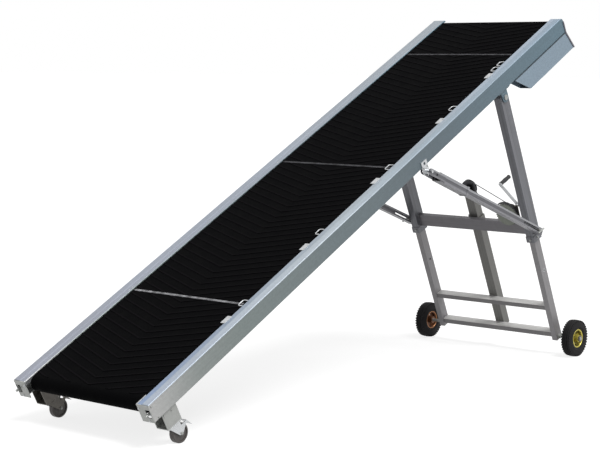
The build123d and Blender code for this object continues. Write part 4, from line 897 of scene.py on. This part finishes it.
def on_drum(angle, b):
    return leg(b, WINCH_Y + ROPE_ON_DRUM * math.cos(angle), WINCH_AT - ROPE_ON_DRUM * math.sin(angle))


def on_sheave(angle):
    return leg(SHEAVE_B, ROPE_ON_SHEAVE * math.cos(angle), SHEAVE_AT - ROPE_ON_SHEAVE * math.sin(angle))


coil = [on_drum(slant + 2 * math.pi * i / COIL_STEPS, START_B - ROPE_PITCH * i / COIL_STEPS)
        for i in range(round(COIL_STEPS * COIL_TURNS))]
wrap = [on_sheave(slant * i / WRAP_STEPS) for i in range(WRAP_STEPS + 1)]
lead = [on_drum(slant, START_B), on_sheave(slant)]
fall = [leg(SHEAVE_B, ROPE_ON_SHEAVE, ANCHOR_AT), on_sheave(0)]
ropes = {}
for name, path, body in (("rope_coil", coil, "leg_frame"), ("rope_wrap", wrap, "wheel_frame"),
                         ("rope_lead", lead, None), ("rope_fall", fall, None)):
    run = [(i, i + 1) for i in range(len(path) - 1)]
    ropes[name] = grow(name, rope_tree, path, rope_steel, body, edges=run)
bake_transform(ropes["rope_lead"])
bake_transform(ropes["rope_fall"])

# %% Anchor of the rope
LUG_B, LUG_THICK = 50, 10
lug_outline = [(850, 36), (850, 60), (878, 60), (892, 50), (892, 36)]       # down, across
lug_place = leg_frame @ Matrix.Rotation(math.pi / 2, 4, "Y") @ Matrix.Translation((0, 0, LUG_B * MM))
plate("rope_lug", lug_outline, LUG_THICK, lug_place, dull_zinc, "leg_frame")
ferrule = [(0.0, 3.4), (0.0, 5.5), (22.0, 5.5), (26.0, 3.4)]
ferrule_place = facing(leg(SHEAVE_B, ROPE_ON_SHEAVE, ANCHOR_AT), leg_way(0, 0, -1))
turned("rope_ferrule", ferrule, ferrule_place, dull_zinc, "leg_frame", ring=True, steps=20)
print("rope anchored", ANCHOR_AT, "mm down the legs")

# %% [markdown]
# Cooling fins round the motor and lugs on the tyres' shoulders are both blocks in a ring, so one tree makes
# them, with the ring's size and the block's size as its inputs.

# %% The ring of blocks tree
ring_tree, sizes = start_tree("ring_of_blocks", {"Count": 24, "Ring Radius": 70 * MM, "Height": 10 * MM,
                                                 "Thickness": 3 * MM, "Length": 100 * MM})
ring = add(ring_tree, "GeometryNodeMeshCircle", {"Vertices": sizes.outputs["Count"],
                                                 "Radius": sizes.outputs["Ring Radius"]})
outward = add(ring_tree, "GeometryNodeInputPosition")
aligned = add(ring_tree, "FunctionNodeAlignRotationToVector", {"Vector": outward.outputs[0]}, axis="X")
block_size = add(ring_tree, "ShaderNodeCombineXYZ", {"X": sizes.outputs["Height"],
                                                     "Y": sizes.outputs["Thickness"],
                                                     "Z": sizes.outputs["Length"]})
block = add(ring_tree, "GeometryNodeMeshCube", {"Size": block_size.outputs[0]})
blocks = add(ring_tree, "GeometryNodeInstanceOnPoints", {"Points": ring.outputs[0],
                                                         "Instance": block.outputs["Mesh"],
                                                         "Rotation": aligned.outputs[0]})
way = add(ring_tree, "GeometryNodeInputNamedAttribute", {"Name": "facing"}, data_type="FLOAT_VECTOR")
aligned = add(ring_tree, "FunctionNodeAlignRotationToVector", {"Vector": way.outputs[0]}, axis="Z")
placed = add(ring_tree, "GeometryNodeInstanceOnPoints", {"Points": sizes.outputs["Geometry"],
                                                         "Instance": blocks.outputs[0],
                                                         "Rotation": aligned.outputs[0]})
end_tree(ring_tree, sizes, placed.outputs[0])
print("ring tree nodes", len(ring_tree.nodes))

# %% Grow the fins and the lugs
FIN_START, LUG_OUT = 105, 23.4      # the fins' middle along the motor, the lugs' from the tyre's middle
FINS = {"Count": 32, "Ring Radius": 71 * MM, "Length": 130 * MM, "Height": 9 * MM}
TREAD_LUGS = {"Count": 40, "Ring Radius": 108.8 * MM, "Height": 8 * MM, "Thickness": 10 * MM,
              "Length": 10 * MM}
grow("motor_fins", ring_tree, [deck(MOTOR_S, MOTOR_START + FIN_START, MOTOR_N)], motor_enamel, "deck",
     ways=[(0, 1, 0)], sizes=FINS)
for side, sign in SIDES.items():
    spots = [leg(0, sign * WHEEL_Y + turn * LUG_OUT, AXLE_AT) for turn in (-1, 1)]
    grow(f"tread_lugs_{side}", ring_tree, spots, tyre_rubber, f"wheel_{side}",
         ways=[(0, 1, 0)] * len(spots), sizes=TREAD_LUGS)

# %% [markdown]
# The motor gets its fan cover, flange and terminal box. The crank gets a hand grip with a waist, spun from
# its profile, and the casters get the covers of their swivel races.

# %% Motor, grip and casters
cowl = [(0.0, 0.0), (0.0, 60.0), (4.0, 70.0), (10.0, 74.0), (58.0, 74.0), (60.0, 70.5), (60.0, 0.0)]
cowl_place = facing(deck(MOTOR_S, MOTOR_END + 2, MOTOR_N), (0, -1, 0))
turned("fan_cover", cowl, cowl_place, black_plastic, "deck")
flange = [(0.0, 66.0), (0.0, 76.0), (12.0, 76.0), (14.0, 73.0), (14.0, 66.0)]
flange_place = facing(deck(MOTOR_S, MOTOR_START, MOTOR_N), (0, 1, 0))
turned("motor_flange", flange, flange_place, motor_enamel, "deck", ring=True)
BOX_HEIGHT, LID_THICK, LID_SHARE = 42, 5, 1.05
box_outline = [(-34, -44), (34, -44), (42, -36), (42, 36), (34, 44), (-34, 44), (-42, 36), (-42, -36)]
lid_outline = [(x * LID_SHARE, y * LID_SHARE) for x, y in box_outline]
box_place = facing(deck(MOTOR_S, MOTOR_START + 100, MOTOR_N - 64), deck_way(0, 0, -1))
lid_place = box_place @ Matrix.Translation((0, 0, BOX_HEIGHT * MM))
plate("terminal_box", box_outline, BOX_HEIGHT, box_place, motor_enamel, "deck")
plate("terminal_lid", lid_outline, LID_THICK, lid_place, black_plastic, "deck")
CRANK_ARM, CRANK_LEAN, GRIP_B = 163.0, math.radians(35), 99
CRANK_TIP = (WINCH_Y + CRANK_ARM * math.sin(CRANK_LEAN), WINCH_AT - CRANK_ARM * math.cos(CRANK_LEAN))
grip = [(0.0, 5.4), (0.0, 11.0), (3.0, 13.9), (8.0, 14.0), (14.0, 12.2), (30.0, 12.6), (52.0, 13.8),
        (76.0, 12.8), (92.0, 12.2), (98.0, 13.8), (102.0, 13.2), (104.0, 10.0), (104.0, 5.4)]
grip_place = facing(leg(GRIP_B, *CRANK_TIP), leg_way(1, 0, 0))
hand_grip = turned("hand_grip", grip, grip_place, black_plastic, "crank", ring=True,
                   steps=40)
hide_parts("crank_grip")
race = [(0.6, 20.0), (0.6, 30.0), (4.0, 34.0), (9.0, 34.0), (12.5, 29.0), (12.5, 20.0)]
# The far race takes the zinc that is painted shade.
RACE_METAL = {"near": bright_zinc, "far": shaded_zinc}
for side, sign in SIDES.items():
    race_place = facing(deck(CASTER_S, sign * CASTER_Y, -96), deck_way(0, 0, -1))
    turned(f"swivel_race_{side}", race, race_place, RACE_METAL[side], f"caster_{side}",
           ring=True, steps=48)
print("crank tip", [round(v, 1) for v in CRANK_TIP])

# %% [markdown]
# A black arc curves over the winch gear, painted shadow on the gear's upper rim. It is a flat arc with a
# thickness, stood square to the gear's axis.

# %% Dark arc over the gear, painted shadow
SHADOW_ARC_INNER, SHADOW_ARC_OUTER, SHADOW_ARC_STEPS = 78.0, 85.0, 24
SHADOW_ARC_FROM, SHADOW_ARC_SWEEP, SHADOW_ARC_B, SHADOW_ARC_WIDTH = 0.04, 0.8, -30, 16      # of half a turn, then millimetres
arc = [math.pi * (SHADOW_ARC_FROM + SHADOW_ARC_SWEEP * i / SHADOW_ARC_STEPS) for i in range(SHADOW_ARC_STEPS + 1)]
shadow_arc_outline = [(SHADOW_ARC_OUTER * math.cos(a), SHADOW_ARC_OUTER * math.sin(a)) for a in arc]
shadow_arc_outline += [(SHADOW_ARC_INNER * math.cos(a), SHADOW_ARC_INNER * math.sin(a)) for a in reversed(arc)]
shadow_arc_place = leg_frame @ Matrix.Translation(Vector((SHADOW_ARC_B, WINCH_Y, -WINCH_AT)) * MM)
shadow_arc_place = shadow_arc_place @ Matrix.Rotation(-math.pi / 2, 4, "Z") @ Matrix.Rotation(math.pi / 2, 4, "X")
# The arc is painted shadow on the gear.
plate("winch_shadow_arc", shadow_arc_outline, SHADOW_ARC_WIDTH, shadow_arc_place, black_plastic, "leg_frame")
print("guard outline points", len(shadow_arc_outline))

# %% [markdown]
# The strut sleeves end in black caps. The inner tube slides through, so a cap is an open square: a ring
# spun in four steps.

# %% Strut caps
CAP_START, STRUT_Y = 105.0, 482.0
strut_way = strut_run.normalized()
cap_section = [(0.0, 21.2), (0.0, 24.6), (9.0, 24.6), (10.0, 23.6), (10.0, 21.2)]      # along, half width
square_cap = [(h, half * math.sqrt(2)) for h, half in cap_section]
for side, sign in SIDES.items():
    cap_at = STRUT_TOP + (strut_way * CAP_START + Vector((0, sign * STRUT_Y, 0))) * MM
    cap_place = facing(cap_at, -strut_way) @ Matrix.Rotation(math.pi / 4, 4, "Z")
    turned(f"strut_cap_{side}", square_cap, cap_place, black_plastic, f"strut_sleeve_{side}",
           ring=True, steps=4)
print("cap spans", round(2 * cap_section[1][1], 1), "mm")

# %% [markdown]
# Bright rings stand round the locking pin holes of the lower legs, and take-up slides lie inside the rails'
# tail ends. A dark strip runs along the foot of the near rail over the drive cover, painted shade for the
# gap there, and a strip of trim edges the rail and the cover at the head. Slides, dark strip and trim are
# outlines drawn on the side of the deck.

# %% Pin holes, slides, shade strip and trim
PIN_HOLE_AT, LOWER_LEG_FACE = 1175, 450
SLIDE_Y, SLIDE_THICK, GAP_STRIP_THICK, TRIM_THICK = 391, 6, 1.5, 3
COVER_START, RAIL_END = 3366, 4000


def standing(y):
    """A place on the deck whose own X runs along the rails and whose own Y stands square to the belt."""
    return deck_frame @ Matrix.Translation((0, y * MM, 0)) @ Matrix.Rotation(math.pi / 2, 4, "X")


eyelet = [(0.0, 7.1), (0.0, 11.0), (1.2, 10.6), (1.6, 9.0), (1.2, 7.4)]
slide = [(0, 76), (72, 76), (76, 80), (76, 90), (72, 95), (0, 95)]      # along, up
for side, sign in SIDES.items():
    hole_place = facing(leg(0, sign * LOWER_LEG_FACE, PIN_HOLE_AT), (0, sign, 0))
    turned(f"pin_hole_ring_{side}", eyelet, hole_place, bright_zinc, "wheel_frame",
           ring=True, steps=32)
    plate(f"take_up_slide_{side}", slide, -SLIDE_THICK * sign, standing(sign * SLIDE_Y), bright_zinc, "deck")
# The dark strip is painted shade in the gap between rail and cover.
gap_strip_outline = [(COVER_START, -4), (RAIL_END + 1, -4), (RAIL_END + 1, 2), (COVER_START, 2)]
plate("cover_gap_shade_strip", gap_strip_outline, GAP_STRIP_THICK, standing(-RAIL_FACE), gap_shade_finish, "deck")
trim = [(RAIL_END + s, n) for s, n in ((-8, 72), (3, 72), (3, -1), (53, -127), (42, -127), (-8, -3))]
plate("head_edge_trim", trim, TRIM_THICK, standing(-RAIL_FACE), trim_plastic, "deck")
print("seal length", RAIL_END + 1 - COVER_START, "mm")
